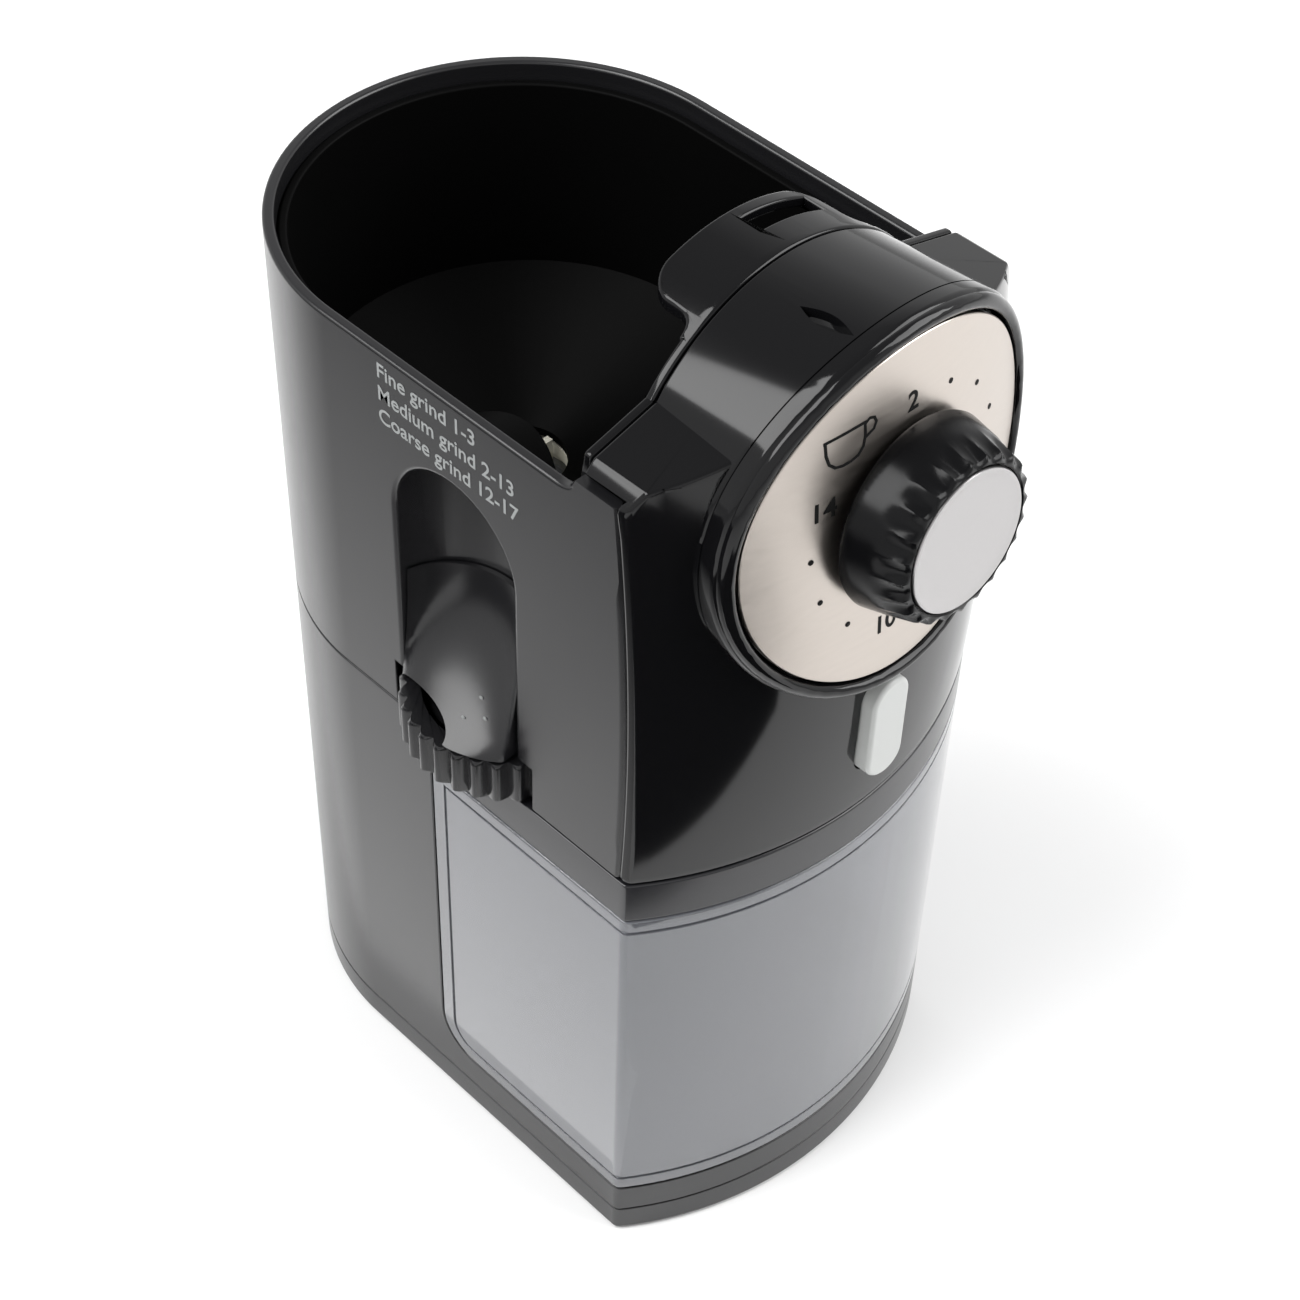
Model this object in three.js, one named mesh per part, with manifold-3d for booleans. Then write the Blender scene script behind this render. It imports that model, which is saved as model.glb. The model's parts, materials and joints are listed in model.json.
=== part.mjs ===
// Burr coffee grinder: a D-shaped countertop machine with an open bean hopper, a tilted
// quantity dial, a side thumb wheel for the grind, and a clear container that slides out in front.
// Millimetres, +Z up, front towards -Y. The machine stands on z = 0, and x = 0 is its middle.
import * as THREE from 'three';
import { mergeVertices } from 'three/addons/utils/BufferGeometryUtils.js';
import Module from 'manifold-3d';

const wasm = await Module();
wasm.setup();

// ---- Driving dimensions -------------------------------------------------------------------
const GAP = 0.3; // clearance between two touching pieces
const WALL = 2.2; // plastic shell thickness

// Body plan: a half circle behind, straight flanks, and a shallow convex arc in front.
const HALF_WIDTH = 48.5;
const FRONT_RADIUS = 81.5;
const CORNER_Y = -80;
const FRONT_CENTRE_Y = CORNER_Y + Math.sqrt(FRONT_RADIUS ** 2 - HALF_WIDTH ** 2);

// Heights
const FOOT_Z = 0;
const FLOOR_PLATE_Z = [0.8, 7.8];
const HOUSING_Z = [8.1, 117.9];
const SOLE_TOP = 15.9;
const CONTAINER_Z = [16.2, 106.9];
const LID_Z = [107.2, 117.8];
const UPPER_Z = [118.2, 207.4];
const DECK_TOP = 120;
const SHOULDER_Z = 210.7; // flank height where it meets the front panel's ears

// The container bay starts here; behind it is the motor compartment.
const BAY_Y = -24.3;
const CORNER_ROUND = 10; // rounded lower rear corner of the container

// Front panel: it leans back towards its top on a large radius.
const LEAN_RADIUS = 510;
const LEAN_APEX_Z = 150;
const PANEL_REAR_Y = -66.4;
const EAR = { outerX: 45.3, outerZ: 214.5, innerX: 31.2, innerZ: 218.3, footZ: 211 };

// Dial: tilted plate, curved about its upright axis.
const DIAL = { y: -97.9, z: 196.4, tilt: THREE.MathUtils.degToRad(4.4), plateR: 35.4, rimR: 39.3, bend: 104 };
const KNOB = { baseR: 18.2, gripR: 16.6, length: 13.4, flutes: 24 };

// Start button: an upright pill below the dial.
const BUTTON = { z: 141.5, width: 9.6, height: 24.8, proud: 3, travel: 2 };

// Burr set on the upright axis B, thumb wheel on axis W, motor on axis A, idler on axis I.
const BURR = { x: 0, y: 2 };
const ADJUST_MODULE = 1.3125;
const BELL_TEETH = 46;
const WHEEL_TEETH = 32;
const WHEEL_BEARING = THREE.MathUtils.degToRad(225.7);
const WHEEL_DISTANCE = (ADJUST_MODULE * (BELL_TEETH + WHEEL_TEETH)) / 2;
const WHEEL = {
  x: BURR.x + WHEEL_DISTANCE * Math.cos(WHEEL_BEARING),
  y: BURR.y + WHEEL_DISTANCE * Math.sin(WHEEL_BEARING),
  z: [118.7, 128.9],
};
const DRIVE_MODULE = 1.5;
const PINION_TEETH = 7;
const IDLER_LARGE_TEETH = 21;
const IDLER_SMALL_TEETH = 8;
const DRIVE_TEETH = 24;
const IDLER_BEARING = THREE.MathUtils.degToRad(20.4);
const IDLER_DISTANCE = (DRIVE_MODULE * (IDLER_SMALL_TEETH + DRIVE_TEETH)) / 2;
const IDLER = {
  x: BURR.x + IDLER_DISTANCE * Math.cos(IDLER_BEARING),
  y: BURR.y + IDLER_DISTANCE * Math.sin(IDLER_BEARING),
};
const MOTOR_BEARING = THREE.MathUtils.degToRad(171.6);
const MOTOR_DISTANCE = (DRIVE_MODULE * (PINION_TEETH + IDLER_LARGE_TEETH)) / 2;
const MOTOR = {
  x: IDLER.x + MOTOR_DISTANCE * Math.cos(MOTOR_BEARING),
  y: IDLER.y + MOTOR_DISTANCE * Math.sin(MOTOR_BEARING),
};

// Thumb recess in the left flank, above the wheel's window.
const RECESS = { y: [-49.8, -17.6], bottom: 129.4, top: 188.5, depth: 14.5 };
const WINDOW = { y: [-52.4, -16.2], top: 129.4 };
const WHEEL_PIN = { radius: 1.4, top: 136 };
// The scoop bulges to edgeR at its foot and thins to a lip where its share of the sweep ends.
const SCOOP = { foot: 129.6, height: 34, share: 0.76, edgeR: 21.4, sweep: 2.6, lip: 0.5, y: [-49.3, -18.1] };
const SCOOP_NOTCH = { y: -28.5, halfWidth: 9.5, height: 3.2 };

// Base: four rubber feet and the four screws that hold the floor plate on
const FOOT = { radius: 6, height: 2, x: 34, y: [-66, 20] };
const SCREW = { headR: 3, shankR: 1.4, headZ: [1.4, 3.4], top: 12, boreTop: 13.9 };
const SCREW_SPOTS = [[-22, -80], [22, -80], [-31, 31], [31, 31]];
const INLET = { z: 24, radius: 5 };

// Hopper, its hood with the lid's slot, and the way down for the grounds
const HOPPER = { top: 203.6, bottom: 140.5, frontY: -63.9, wall: 1.8, throatR: 10, slope: 0.54 };
const HOOD = { halfWidth: 19.8, rearY: -51.7, corner: 6, flare: 3.5, slot: { x: [0.5, 16.5], y: [-59.2, -54.6] } };
const LID_INLET = { x: [-9, 9], y: [-50, -31] };
const CHUTE = { x: [-10, 10], y: [-50, -27.5], z: [118.5, 124], wall: 1.8 };

// Dial boss: distances along the dial's axis and radii about it
const BOSS = { frontWall: [-3.3, -1.3], tubeEnd: -4.4, boreR: 33.2, hollowR: 37 };
const SHAFT_R = 3;
const SHAFT_HOLE_R = 4.2;

// Works
const CHAMBER = { floorZ: [118.6, 120.4], innerR: 25, outerR: 27, top: 136 };
const SPINDLE = { radius: 3, z: [96.5, 138] };
const MOTOR_CAN = { radius: 24, z: [24, 84], wall: 1.5 };
const MOTOR_SHAFT_R = 2.3;
const MOUNT_Z = [87.5, 89.5];
const MID_PLATE_Z = [98.6, 100.6];
const TOP_PLATE_Z = [114.5, 117.3];

// Cutting blocks run past the machine to these limits.
const PAST = { side: 80, front: -120, rear: 60, floor: 0, top: 260 };

const ORIGIN = { x: 0, y: 0 };

// ---- Geometry helpers ---------------------------------------------------------------------
// A closed three.js geometry becomes a solid that can be joined and cut.
function toSolid(geometry, frame) {
  const bare = geometry.index ? geometry.toNonIndexed() : geometry.clone();
  bare.deleteAttribute('normal');
  bare.deleteAttribute('uv');
  if (frame) bare.applyMatrix4(frame);
  const welded = mergeVertices(bare, 1e-4);
  const corners = welded.index.array;
  const triangles = [];
  for (let i = 0; i < corners.length; i += 3) {
    const [a, b, c] = [corners[i], corners[i + 1], corners[i + 2]];
    if (a !== b && b !== c && c !== a) triangles.push(a, b, c);
  }
  const build = (list) =>
    new wasm.Manifold(
      new wasm.Mesh({
        numProp: 3,
        vertProperties: new Float32Array(welded.attributes.position.array),
        triVerts: new Uint32Array(list),
      }),
    );
  const solid = build(triangles);
  if (solid.volume() > 0) return solid;
  for (let i = 0; i < triangles.length; i += 3) {
    [triangles[i], triangles[i + 1]] = [triangles[i + 1], triangles[i]];
  }
  return build(triangles);
}

const box = ([x0, x1], [y0, y1], [z0, z1], frame) =>
  toSolid(
    new THREE.BoxGeometry(x1 - x0, y1 - y0, z1 - z0).translate((x0 + x1) / 2, (y0 + y1) / 2, (z0 + z1) / 2),
    frame,
  );

const rod = ({ x, y }, radius, [z0, z1], sides = 20, frame) =>
  toSolid(
    new THREE.CylinderGeometry(radius, radius, z1 - z0, sides)
      .rotateX(Math.PI / 2)
      .translate(x, y, (z0 + z1) / 2),
    frame,
  );

const ring = (centre, outer, inner, [z0, z1], sides = 24) =>
  rod(centre, outer, [z0, z1], sides).subtract(rod(centre, inner, [z0 - 1, z1 + 1], sides));

// An outline in plan, raised from z0 to z1.
const prism = (shape, [z0, z1], arcSteps = 12) =>
  toSolid(
    new THREE.ExtrudeGeometry(shape, { depth: z1 - z0, bevelEnabled: false, curveSegments: arcSteps })
      .translate(0, 0, z0),
  );

// An outline in the X-Z plane, carried along Y from y0 to y1.
const alongY = (shape, [y0, y1], arcSteps = 12, frame) =>
  toSolid(
    new THREE.ExtrudeGeometry(shape, { depth: y1 - y0, bevelEnabled: false, curveSegments: arcSteps })
      .rotateX(Math.PI / 2)
      .translate(0, y1, 0),
    frame,
  );

// An outline in the Y-Z plane, carried along X from x0 to x1.
const alongX = (shape, [x0, x1], arcSteps = 12) =>
  toSolid(
    new THREE.ExtrudeGeometry(shape, { depth: x1 - x0, bevelEnabled: false, curveSegments: arcSteps })
      .rotateX(Math.PI / 2)
      .rotateZ(Math.PI / 2)
      .translate(x0, 0, 0),
  );

// A profile of [radius, height] points turned about an upright axis.
const turned = (profile, { x, y }, sides = 24, frame) =>
  toSolid(
    new THREE.LatheGeometry(
      profile.map(([r, z]) => new THREE.Vector2(r, z)),
      sides,
    )
      .rotateX(Math.PI / 2)
      .translate(x, y, 0),
    frame,
  );

// A skin over upright rings with equal numbers of points, closed by a flat cap at each end.
function lofted(rings) {
  const count = rings[0].length;
  const index = [];
  for (let k = 0; k + 1 < rings.length; k += 1) {
    for (let i = 0; i < count; i += 1) {
      const [a, b] = [k * count + i, k * count + ((i + 1) % count)];
      index.push(a, b, b + count, a, b + count, a + count);
    }
  }
  [rings[0], rings[rings.length - 1]].forEach((ring, end) => {
    const start = end * (rings.length - 1) * count;
    const flat = ring.map(([x, y]) => new THREE.Vector2(x, y));
    THREE.ShapeUtils.triangulateShape(flat, []).forEach(([a, b, c]) => {
      index.push(...(end ? [start + a, start + b, start + c] : [start + a, start + c, start + b]));
    });
  });
  const geometry = new THREE.BufferGeometry();
  geometry.setAttribute('position', new THREE.BufferAttribute(new Float32Array(rings.flat(2)), 3));
  geometry.setIndex(index);
  return toSolid(geometry);
}

const arc = ([x, y], radius, [from, to], steps) =>
  Array.from({ length: steps + 1 }, (_, i) => {
    const angle = from + ((to - from) * i) / steps;
    return [x + radius * Math.cos(angle), y + radius * Math.sin(angle)];
  });

const polygon = (points) => new THREE.Shape(points.map(([a, b]) => new THREE.Vector2(a, b)));

// A block as wide as any piece, for keeping or cutting a range of depths and heights
const everywhere = (depths, heights) => box([-PAST.side, PAST.side], depths, heights);

// ---- Body outlines ------------------------------------------------------------------------
// The D-shaped plan, drawn in by an inset.
function bodyPlan(inset = 0) {
  const half = HALF_WIDTH - inset;
  const radius = FRONT_RADIUS - inset;
  const spread = Math.asin(half / radius);
  const rear = arc([0, 0], half, [0, Math.PI], 18);
  const front = arc([0, FRONT_CENTRE_Y], radius, [-Math.PI / 2 - spread, -Math.PI / 2 + spread], 10);
  return polygon([...rear, ...front]);
}

// How far back the panel's face stands at a height, against its foot.
const lean = (z) => ((z - LEAN_APEX_Z) ** 2 - (UPPER_Z[0] - LEAN_APEX_Z) ** 2) / (2 * LEAN_RADIUS);

// Everything behind the leaning front face moved back by an offset: a block wider than the body.
function behindFront(offset) {
  const [z0, z1] = [110, 250];
  const reach = 60;
  const spread = Math.asin(reach / FRONT_RADIUS);
  const front = [-Math.PI / 2 - spread, -Math.PI / 2 + spread];
  const outline = [[reach, 70], [-reach, 70], ...arc([0, FRONT_CENTRE_Y + offset], FRONT_RADIUS, front, 12)];
  const layers = 5;
  const geometry = new THREE.ExtrudeGeometry(polygon(outline), {
    depth: z1 - z0,
    steps: layers,
    bevelEnabled: false,
  }).translate(0, 0, z0);
  const points = geometry.attributes.position;
  for (let i = 0; i < points.count; i += 1) {
    if (points.getY(i) < 0) points.setY(i, points.getY(i) + lean(points.getZ(i)));
  }
  return toSolid(geometry);
}

// The recess: an arch in side view, a half ellipse in plan, grown by an amount on every side.
function recess(grow, bottom = RECESS.bottom) {
  const [front, rear] = [RECESS.y[0] - grow, RECESS.y[1] + grow];
  const middle = (front + rear) / 2;
  const radius = (rear - front) / 2;
  const springing = RECESS.top + grow - radius;
  const arch = new THREE.Shape();
  arch.moveTo(front, bottom);
  arch.lineTo(rear, bottom);
  arch.lineTo(rear, springing);
  arch.absarc(middle, springing, radius, 0, Math.PI, false);
  const plan = new THREE.Shape();
  plan.moveTo(-HALF_WIDTH - 15, front);
  plan.lineTo(-HALF_WIDTH, front);
  plan.absellipse(-HALF_WIDTH, middle, RECESS.depth + grow, radius, -Math.PI / 2, Math.PI / 2, false, 0);
  plan.lineTo(-HALF_WIDTH - 15, rear);
  const mouth = prism(plan, [bottom - 1, RECESS.top + grow + 1], 10);
  return alongX(arch, [-HALF_WIDTH - 16, -20], 12).intersect(mouth);
}

// The outline of the panel's top: two flat ears either side of the dial's round boss.
function panelOutline(drop, width, footZ, bottom) {
  return polygon([
    [-width, bottom],
    [width, bottom],
    [width, footZ],
    [EAR.outerX - drop * 0.3, EAR.outerZ - drop],
    [EAR.innerX, EAR.innerZ - drop],
    [-EAR.innerX, EAR.innerZ - drop],
    [-EAR.outerX + drop * 0.3, EAR.outerZ - drop],
    [-width, footZ],
  ]);
}

// The dial's own frame: x to the right, y up the plate, z out of it.
const dialFrame = new THREE.Matrix4()
  .makeRotationX(Math.PI / 2 - DIAL.tilt)
  .setPosition(0, DIAL.y, DIAL.z);

// A slab that follows the plate's curve, between two heights above the plate's middle.
function curvedSlab([n0, n1], frame) {
  const reach = 45;
  const spread = Math.asin(reach / DIAL.bend);
  const shape = new THREE.Shape();
  shape.absarc(0, n1 - DIAL.bend, DIAL.bend, Math.PI / 2 - spread, Math.PI / 2 + spread, false);
  shape.absarc(0, n0 - DIAL.bend, DIAL.bend, Math.PI / 2 + spread, Math.PI / 2 - spread, true);
  return alongY(shape, [-reach, reach], 6, frame);
}

// ---- Gears --------------------------------------------------------------------------------
// A tooth is centred on the phase angle. Tooth thickness leaves a generous running backlash.
const TOOTH = { addendum: 0.8, dedendum: 1.05, tipShare: 0.11, rootShare: 0.25 };

function gearPlan(teeth, module, phase, { x, y }) {
  const pitchRadius = (teeth * module) / 2;
  const tip = pitchRadius + TOOTH.addendum * module;
  const root = pitchRadius - TOOTH.dedendum * module;
  const step = (2 * Math.PI) / teeth;
  const points = [];
  for (let i = 0; i < teeth; i += 1) {
    const centre = phase + i * step;
    const corners = [
      [root, centre - TOOTH.rootShare * step],
      [tip, centre - TOOTH.tipShare * step],
      [tip, centre + TOOTH.tipShare * step],
      [root, centre + TOOTH.rootShare * step],
    ];
    corners.forEach(([r, angle]) => points.push([x + r * Math.cos(angle), y + r * Math.sin(angle)]));
  }
  return polygon(points);
}

const gear = (teeth, module, phase, centre, heights) =>
  prism(gearPlan(teeth, module, phase, centre), heights);

// The phase of a gear that offers a gap to a neighbour's tooth lying in a given direction.
const gapTowards = (direction, teeth) => direction + Math.PI / teeth;

// ---- Materials ----------------------------------------------------------------------------
const finish = (color, roughness, metalness = 0, extra = {}) =>
  new THREE.MeshStandardMaterial({ color, roughness, metalness, ...extra });

const satinBlack = finish(0x2b2c2e, 0.38);
const glossBlack = finish(0x0c0c0d, 0.12);
const hopperBlack = finish(0x101011, 0.3);
const brushedSteel = finish(0xcfc6bf, 0.32, 1);
const satinSilver = finish(0xc4c2c2, 0.35, 0.9);
const buttonGrey = finish(0xbec0be, 0.4, 0.2);
const clearPlastic = finish(0xb4b6be, 0.12, 0, { transparent: true, opacity: 0.45 });
const rubber = finish(0x1a1a1a, 0.8);
const gearNylon = finish(0xe2dfd2, 0.5);
const machinedSteel = finish(0x9b9ea1, 0.35, 1);
const motorSteel = finish(0x84888c, 0.45, 1);
const brass = finish(0xb08d4a, 0.35, 1);
const boardGreen = finish(0x1f5a3a, 0.5);
const switchBlack = finish(0x202020, 0.5);

// ---- The assembly -------------------------------------------------------------------------
const grinder = new THREE.Group();
const dialGroup = new THREE.Group();
dialGroup.applyMatrix4(dialFrame);
grinder.add(dialGroup);

function add(name, solid, material, parent = grinder) {
  const { vertProperties, triVerts } = solid.getMesh();
  const geometry = new THREE.BufferGeometry();
  geometry.setAttribute('position', new THREE.BufferAttribute(vertProperties, 3));
  geometry.setIndex(new THREE.BufferAttribute(triVerts, 1));
  geometry.computeVertexNormals();
  const mesh = new THREE.Mesh(geometry, material);
  mesh.name = name;
  parent.add(mesh);
}

// ---- Base ---------------------------------------------------------------------------------
const footSpots = FOOT.y.flatMap((y) => [-FOOT.x, FOOT.x].map((x) => ({ x, y })));
const screwSpots = SCREW_SPOTS.map(([x, y]) => ({ x, y }));

function buildBase() {
  let plate = prism(bodyPlan(), FLOOR_PLATE_Z);
  plate = plate.subtract(prism(bodyPlan(WALL), [5, FLOOR_PLATE_Z[1] + 1]));
  footSpots.forEach((spot, i) => {
    plate = plate.subtract(rod(spot, FOOT.radius + GAP, [0, FOOT.height + GAP], 16));
    add(`foot_${i + 1}`, rod(spot, FOOT.radius, [FOOT_Z, FOOT.height], 16), rubber);
  });
  screwSpots.forEach((spot, i) => {
    const well = rod(spot, SCREW.headR + 1, [0, SCREW.headZ[1]], 12);
    plate = plate.subtract(well).subtract(rod(spot, SCREW.shankR + GAP, [0, 9], 10));
    const profile = [
      [0, SCREW.headZ[0]],
      [SCREW.headR, SCREW.headZ[0]],
      [SCREW.headR, SCREW.headZ[1] - GAP],
      [SCREW.shankR, SCREW.headZ[1] - GAP],
      [SCREW.shankR, SCREW.top],
      [0, SCREW.top + 1],
    ];
    add(`base_screw_${i + 1}`, turned(profile, spot, 10), machinedSteel);
  });
  add('floor_plate', plate, satinBlack);
}

// ---- Lower housing: motor compartment behind, sole under the container ---------------------
const inletFrame = new THREE.Matrix4().makeRotationX(-Math.PI / 2).setPosition(0, HALF_WIDTH, INLET.z);

// The bay's lower rear corner is a quarter round across the whole width.
const roundCentre = { y: BAY_Y - CORNER_ROUND, z: SOLE_TOP + CORNER_ROUND };
const cornerRod = (radius) => {
  const circle = new THREE.Shape().absarc(roundCentre.y, roundCentre.z, radius, 0, 2 * Math.PI, false);
  return alongX(circle, [-60, 60], 24);
};
const cornerBlock = everywhere([roundCentre.y, BAY_Y + 1], [SOLE_TOP - 1, roundCentre.z]);

function buildLowerHousing() {
  const motorRoom = everywhere([BAY_Y + WALL, PAST.rear], [PAST.floor, 130]);
  const sole = everywhere([PAST.front, PAST.rear], [HOUSING_Z[0], SOLE_TOP]);
  const fillet = cornerBlock.subtract(cornerRod(CORNER_ROUND));
  const outer = prism(bodyPlan(), HOUSING_Z)
    .intersect(everywhere([BAY_Y, PAST.rear], HOUSING_Z).add(sole).add(fillet));
  let shell = outer
    .subtract(prism(bodyPlan(WALL), [PAST.floor, SOLE_TOP - WALL]))
    .subtract(prism(bodyPlan(WALL), [PAST.floor, 130]).intersect(motorRoom))
    .subtract(rod(ORIGIN, INLET.radius, [-6, 6], 24, inletFrame));
  // Bosses that take the base screws
  screwSpots.forEach((spot) => {
    const boss = rod(spot, SCREW.headR + 1, [HOUSING_Z[0], SOLE_TOP - 0.5], 12);
    shell = shell.add(boss).subtract(rod(spot, SCREW.shankR + GAP, [PAST.floor, SCREW.boreTop], 10));
  });
  add('lower_housing', shell, satinBlack);
  const gland = [
    [2.2, -4],
    [4.7, -4],
    [4.7, -2.4 + GAP],
    [4.7, GAP],
    [6.5, GAP],
    [5.6, 4],
    [3.6, 5],
    [2.2, 5],
    [2.2, -4],
  ];
  add('cord_gland', turned(gland, ORIGIN, 24, inletFrame), rubber);
}

// ---- Container and its lid ----------------------------------------------------------------

function buildContainer() {
  const front = (inset, heights) =>
    prism(bodyPlan(inset), heights).intersect(everywhere([PAST.front, BAY_Y - GAP - inset], [0, 130]));
  const clipped = (solid, radius) => solid.subtract(cornerBlock.subtract(cornerRod(radius)));
  const outer = clipped(front(0, CONTAINER_Z), CORNER_ROUND - GAP);
  const hollow = clipped(front(WALL, [CONTAINER_Z[0] + WALL, CONTAINER_Z[1] + 1]), CORNER_ROUND - GAP - WALL);
  add('container', outer.subtract(hollow), clearPlastic);

  const lipDepth = 3;
  const lip = front(WALL + GAP, [LID_Z[0] - lipDepth, LID_Z[0] + 1])
    .subtract(front(WALL + 2, [90, LID_Z[0] + 0.5]));
  const lid = front(0, LID_Z)
    .add(lip)
    .subtract(front(WALL, [LID_Z[0] + WALL, LID_Z[1] + 1]))
    .subtract(box(LID_INLET.x, LID_INLET.y, [90, 130]));
  add('container_lid', lid, satinBlack);
}

// ---- Upper housing ------------------------------------------------------------------------

function buildUpperHousing() {
  // Flank height: level along the hopper, rising in a small curve to the front panel's ears
  const flank = new THREE.Shape();
  flank.moveTo(-110, UPPER_Z[0]);
  flank.lineTo(60, UPPER_Z[0]);
  flank.lineTo(60, UPPER_Z[1]);
  flank.lineTo(-60.5, UPPER_Z[1]);
  flank.quadraticCurveTo(-64.8, UPPER_Z[1], -65.6, SHOULDER_Z);
  flank.lineTo(-110, SHOULDER_Z);
  const heights = [UPPER_Z[0], SHOULDER_Z];
  const backOfPanel = behindFront(WALL + GAP);
  const outer = prism(bodyPlan(), heights).intersect(alongX(flank, [-60, 60], 8)).intersect(backOfPanel);
  const inset = WALL + 0.2;
  const room = prism(bodyPlan(inset), [DECK_TOP, SHOULDER_Z + 1]);
  // The face between the flanks is left open for the front panel
  const opening = box([-HALF_WIDTH + inset, HALF_WIDTH - inset], [PAST.front, -60], [DECK_TOP, PAST.top]);
  let shell = outer.subtract(room).subtract(opening);
  // The deck is cut away over the motor compartment, the thumb wheel and the chute
  const overMotor = prism(bodyPlan(inset), [100, DECK_TOP + 1])
    .intersect(everywhere([BAY_Y, PAST.rear], [100, DECK_TOP + 2]));
  const wheelClearance = 23.2;
  shell = shell
    .subtract(overMotor)
    .subtract(rod(WHEEL, wheelClearance, [110, WINDOW.top], 24))
    .subtract(box([-10.4, 10.4], [-50.4, BAY_Y + 1], [110, DECK_TOP + 1]));
  // Thumb recess with its liner, and the window for the wheel
  const liner = recess(1.8, RECESS.bottom + 1).intersect(prism(bodyPlan(0.2), heights));
  shell = shell
    .add(liner)
    .subtract(recess(0, RECESS.bottom))
    .subtract(box([-HALF_WIDTH - 2, -HALF_WIDTH + 4], WINDOW.y, [110, WINDOW.top]));
  add('upper_housing', shell, satinBlack);
}

// ---- Hopper -------------------------------------------------------------------------------

function cone(centre, bottomR, z, slope) {
  const reach = 85;
  const brim = z + (reach - bottomR) * slope;
  return turned([[0, z], [bottomR, z], [reach, brim], [reach, PAST.top], [0, PAST.top]], centre, 24);
}

function buildHopper() {
  const tub = (inset, startY, heights) =>
    prism(bodyPlan(inset), heights).intersect(everywhere([startY, PAST.rear], [PAST.floor, PAST.top]));
  const { wall, top, bottom, frontY, throatR, slope } = HOPPER;
  const throat = rod(BURR, throatR, [bottom - 1, bottom + 5], 24);
  const outerInset = WALL + 0.5;
  const outer = tub(outerInset, frontY, [bottom, top])
    .intersect(cone(BURR, throatR + wall, bottom, slope))
    .subtract(recess(2.1, RECESS.bottom));
  const inner = tub(outerInset + wall, frontY + wall, [bottom - 1, top + 1])
    .intersect(cone(BURR, throatR, bottom + wall, slope).add(throat))
    .subtract(recess(2.1 + wall, RECESS.bottom));
  add('hopper', outer.subtract(inner), hopperBlack);
}

// The hopper's arched front wall, with a hood that reaches back over the beans
function buildHood() {
  const zCentre = DIAL.z - (PANEL_REAR_Y - DIAL.y) * Math.tan(DIAL.tilt) + 0.3;
  const disc = (radius) => new THREE.Shape().absarc(0, zCentre, radius, 0, 2 * Math.PI, false);
  const wallY = [PANEL_REAR_Y + GAP, HOPPER.frontY - GAP];
  const reach = [PANEL_REAR_Y + GAP, HOOD.rearY];
  const plate = alongY(panelOutline(0.2, 45.8, EAR.footZ, HOPPER.bottom), wallY).add(
    alongY(disc(DIAL.rimR), wallY, 32),
  );
  const shellAll = alongY(disc(DIAL.rimR), reach, 32).subtract(alongY(disc(DIAL.rimR - WALL), [-100, 0], 32));
  // Plan outline of the tab: rounded rear corners and flared roots
  const { halfWidth, rearY, corner, flare, slot } = HOOD;
  const rootY = wallY[1];
  const tab = new THREE.Shape();
  tab.moveTo(halfWidth + flare, rootY - 1);
  tab.lineTo(halfWidth + flare, rootY + 0.5);
  tab.quadraticCurveTo(halfWidth, rootY + 1, halfWidth, rootY + 4);
  tab.lineTo(halfWidth, rearY - corner);
  tab.absarc(halfWidth - corner, rearY - corner, corner, 0, Math.PI / 2, false);
  tab.absarc(-halfWidth + corner, rearY - corner, corner, Math.PI / 2, Math.PI, false);
  tab.lineTo(-halfWidth, rootY + 4);
  tab.quadraticCurveTo(-halfWidth, rootY + 1, -halfWidth - flare, rootY + 0.5);
  tab.lineTo(-halfWidth - flare, rootY - 1);
  const hood = plate
    .add(shellAll.intersect(prism(tab, [zCentre + 20, 250], 5)))
    .subtract(box(slot.x, slot.y, [zCentre + 20, 250]));
  add('hopper_hood', hood, glossBlack);
}

// ---- Front panel with its dial boss --------------------------------------------------------

function pill(width, height, centreZ) {
  const radius = width / 2;
  const half = height / 2 - radius;
  const shape = new THREE.Shape();
  shape.absarc(0, centreZ + half, radius, 0, Math.PI, false);
  shape.absarc(0, centreZ - half, radius, Math.PI, 2 * Math.PI, false);
  return shape;
}

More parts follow.
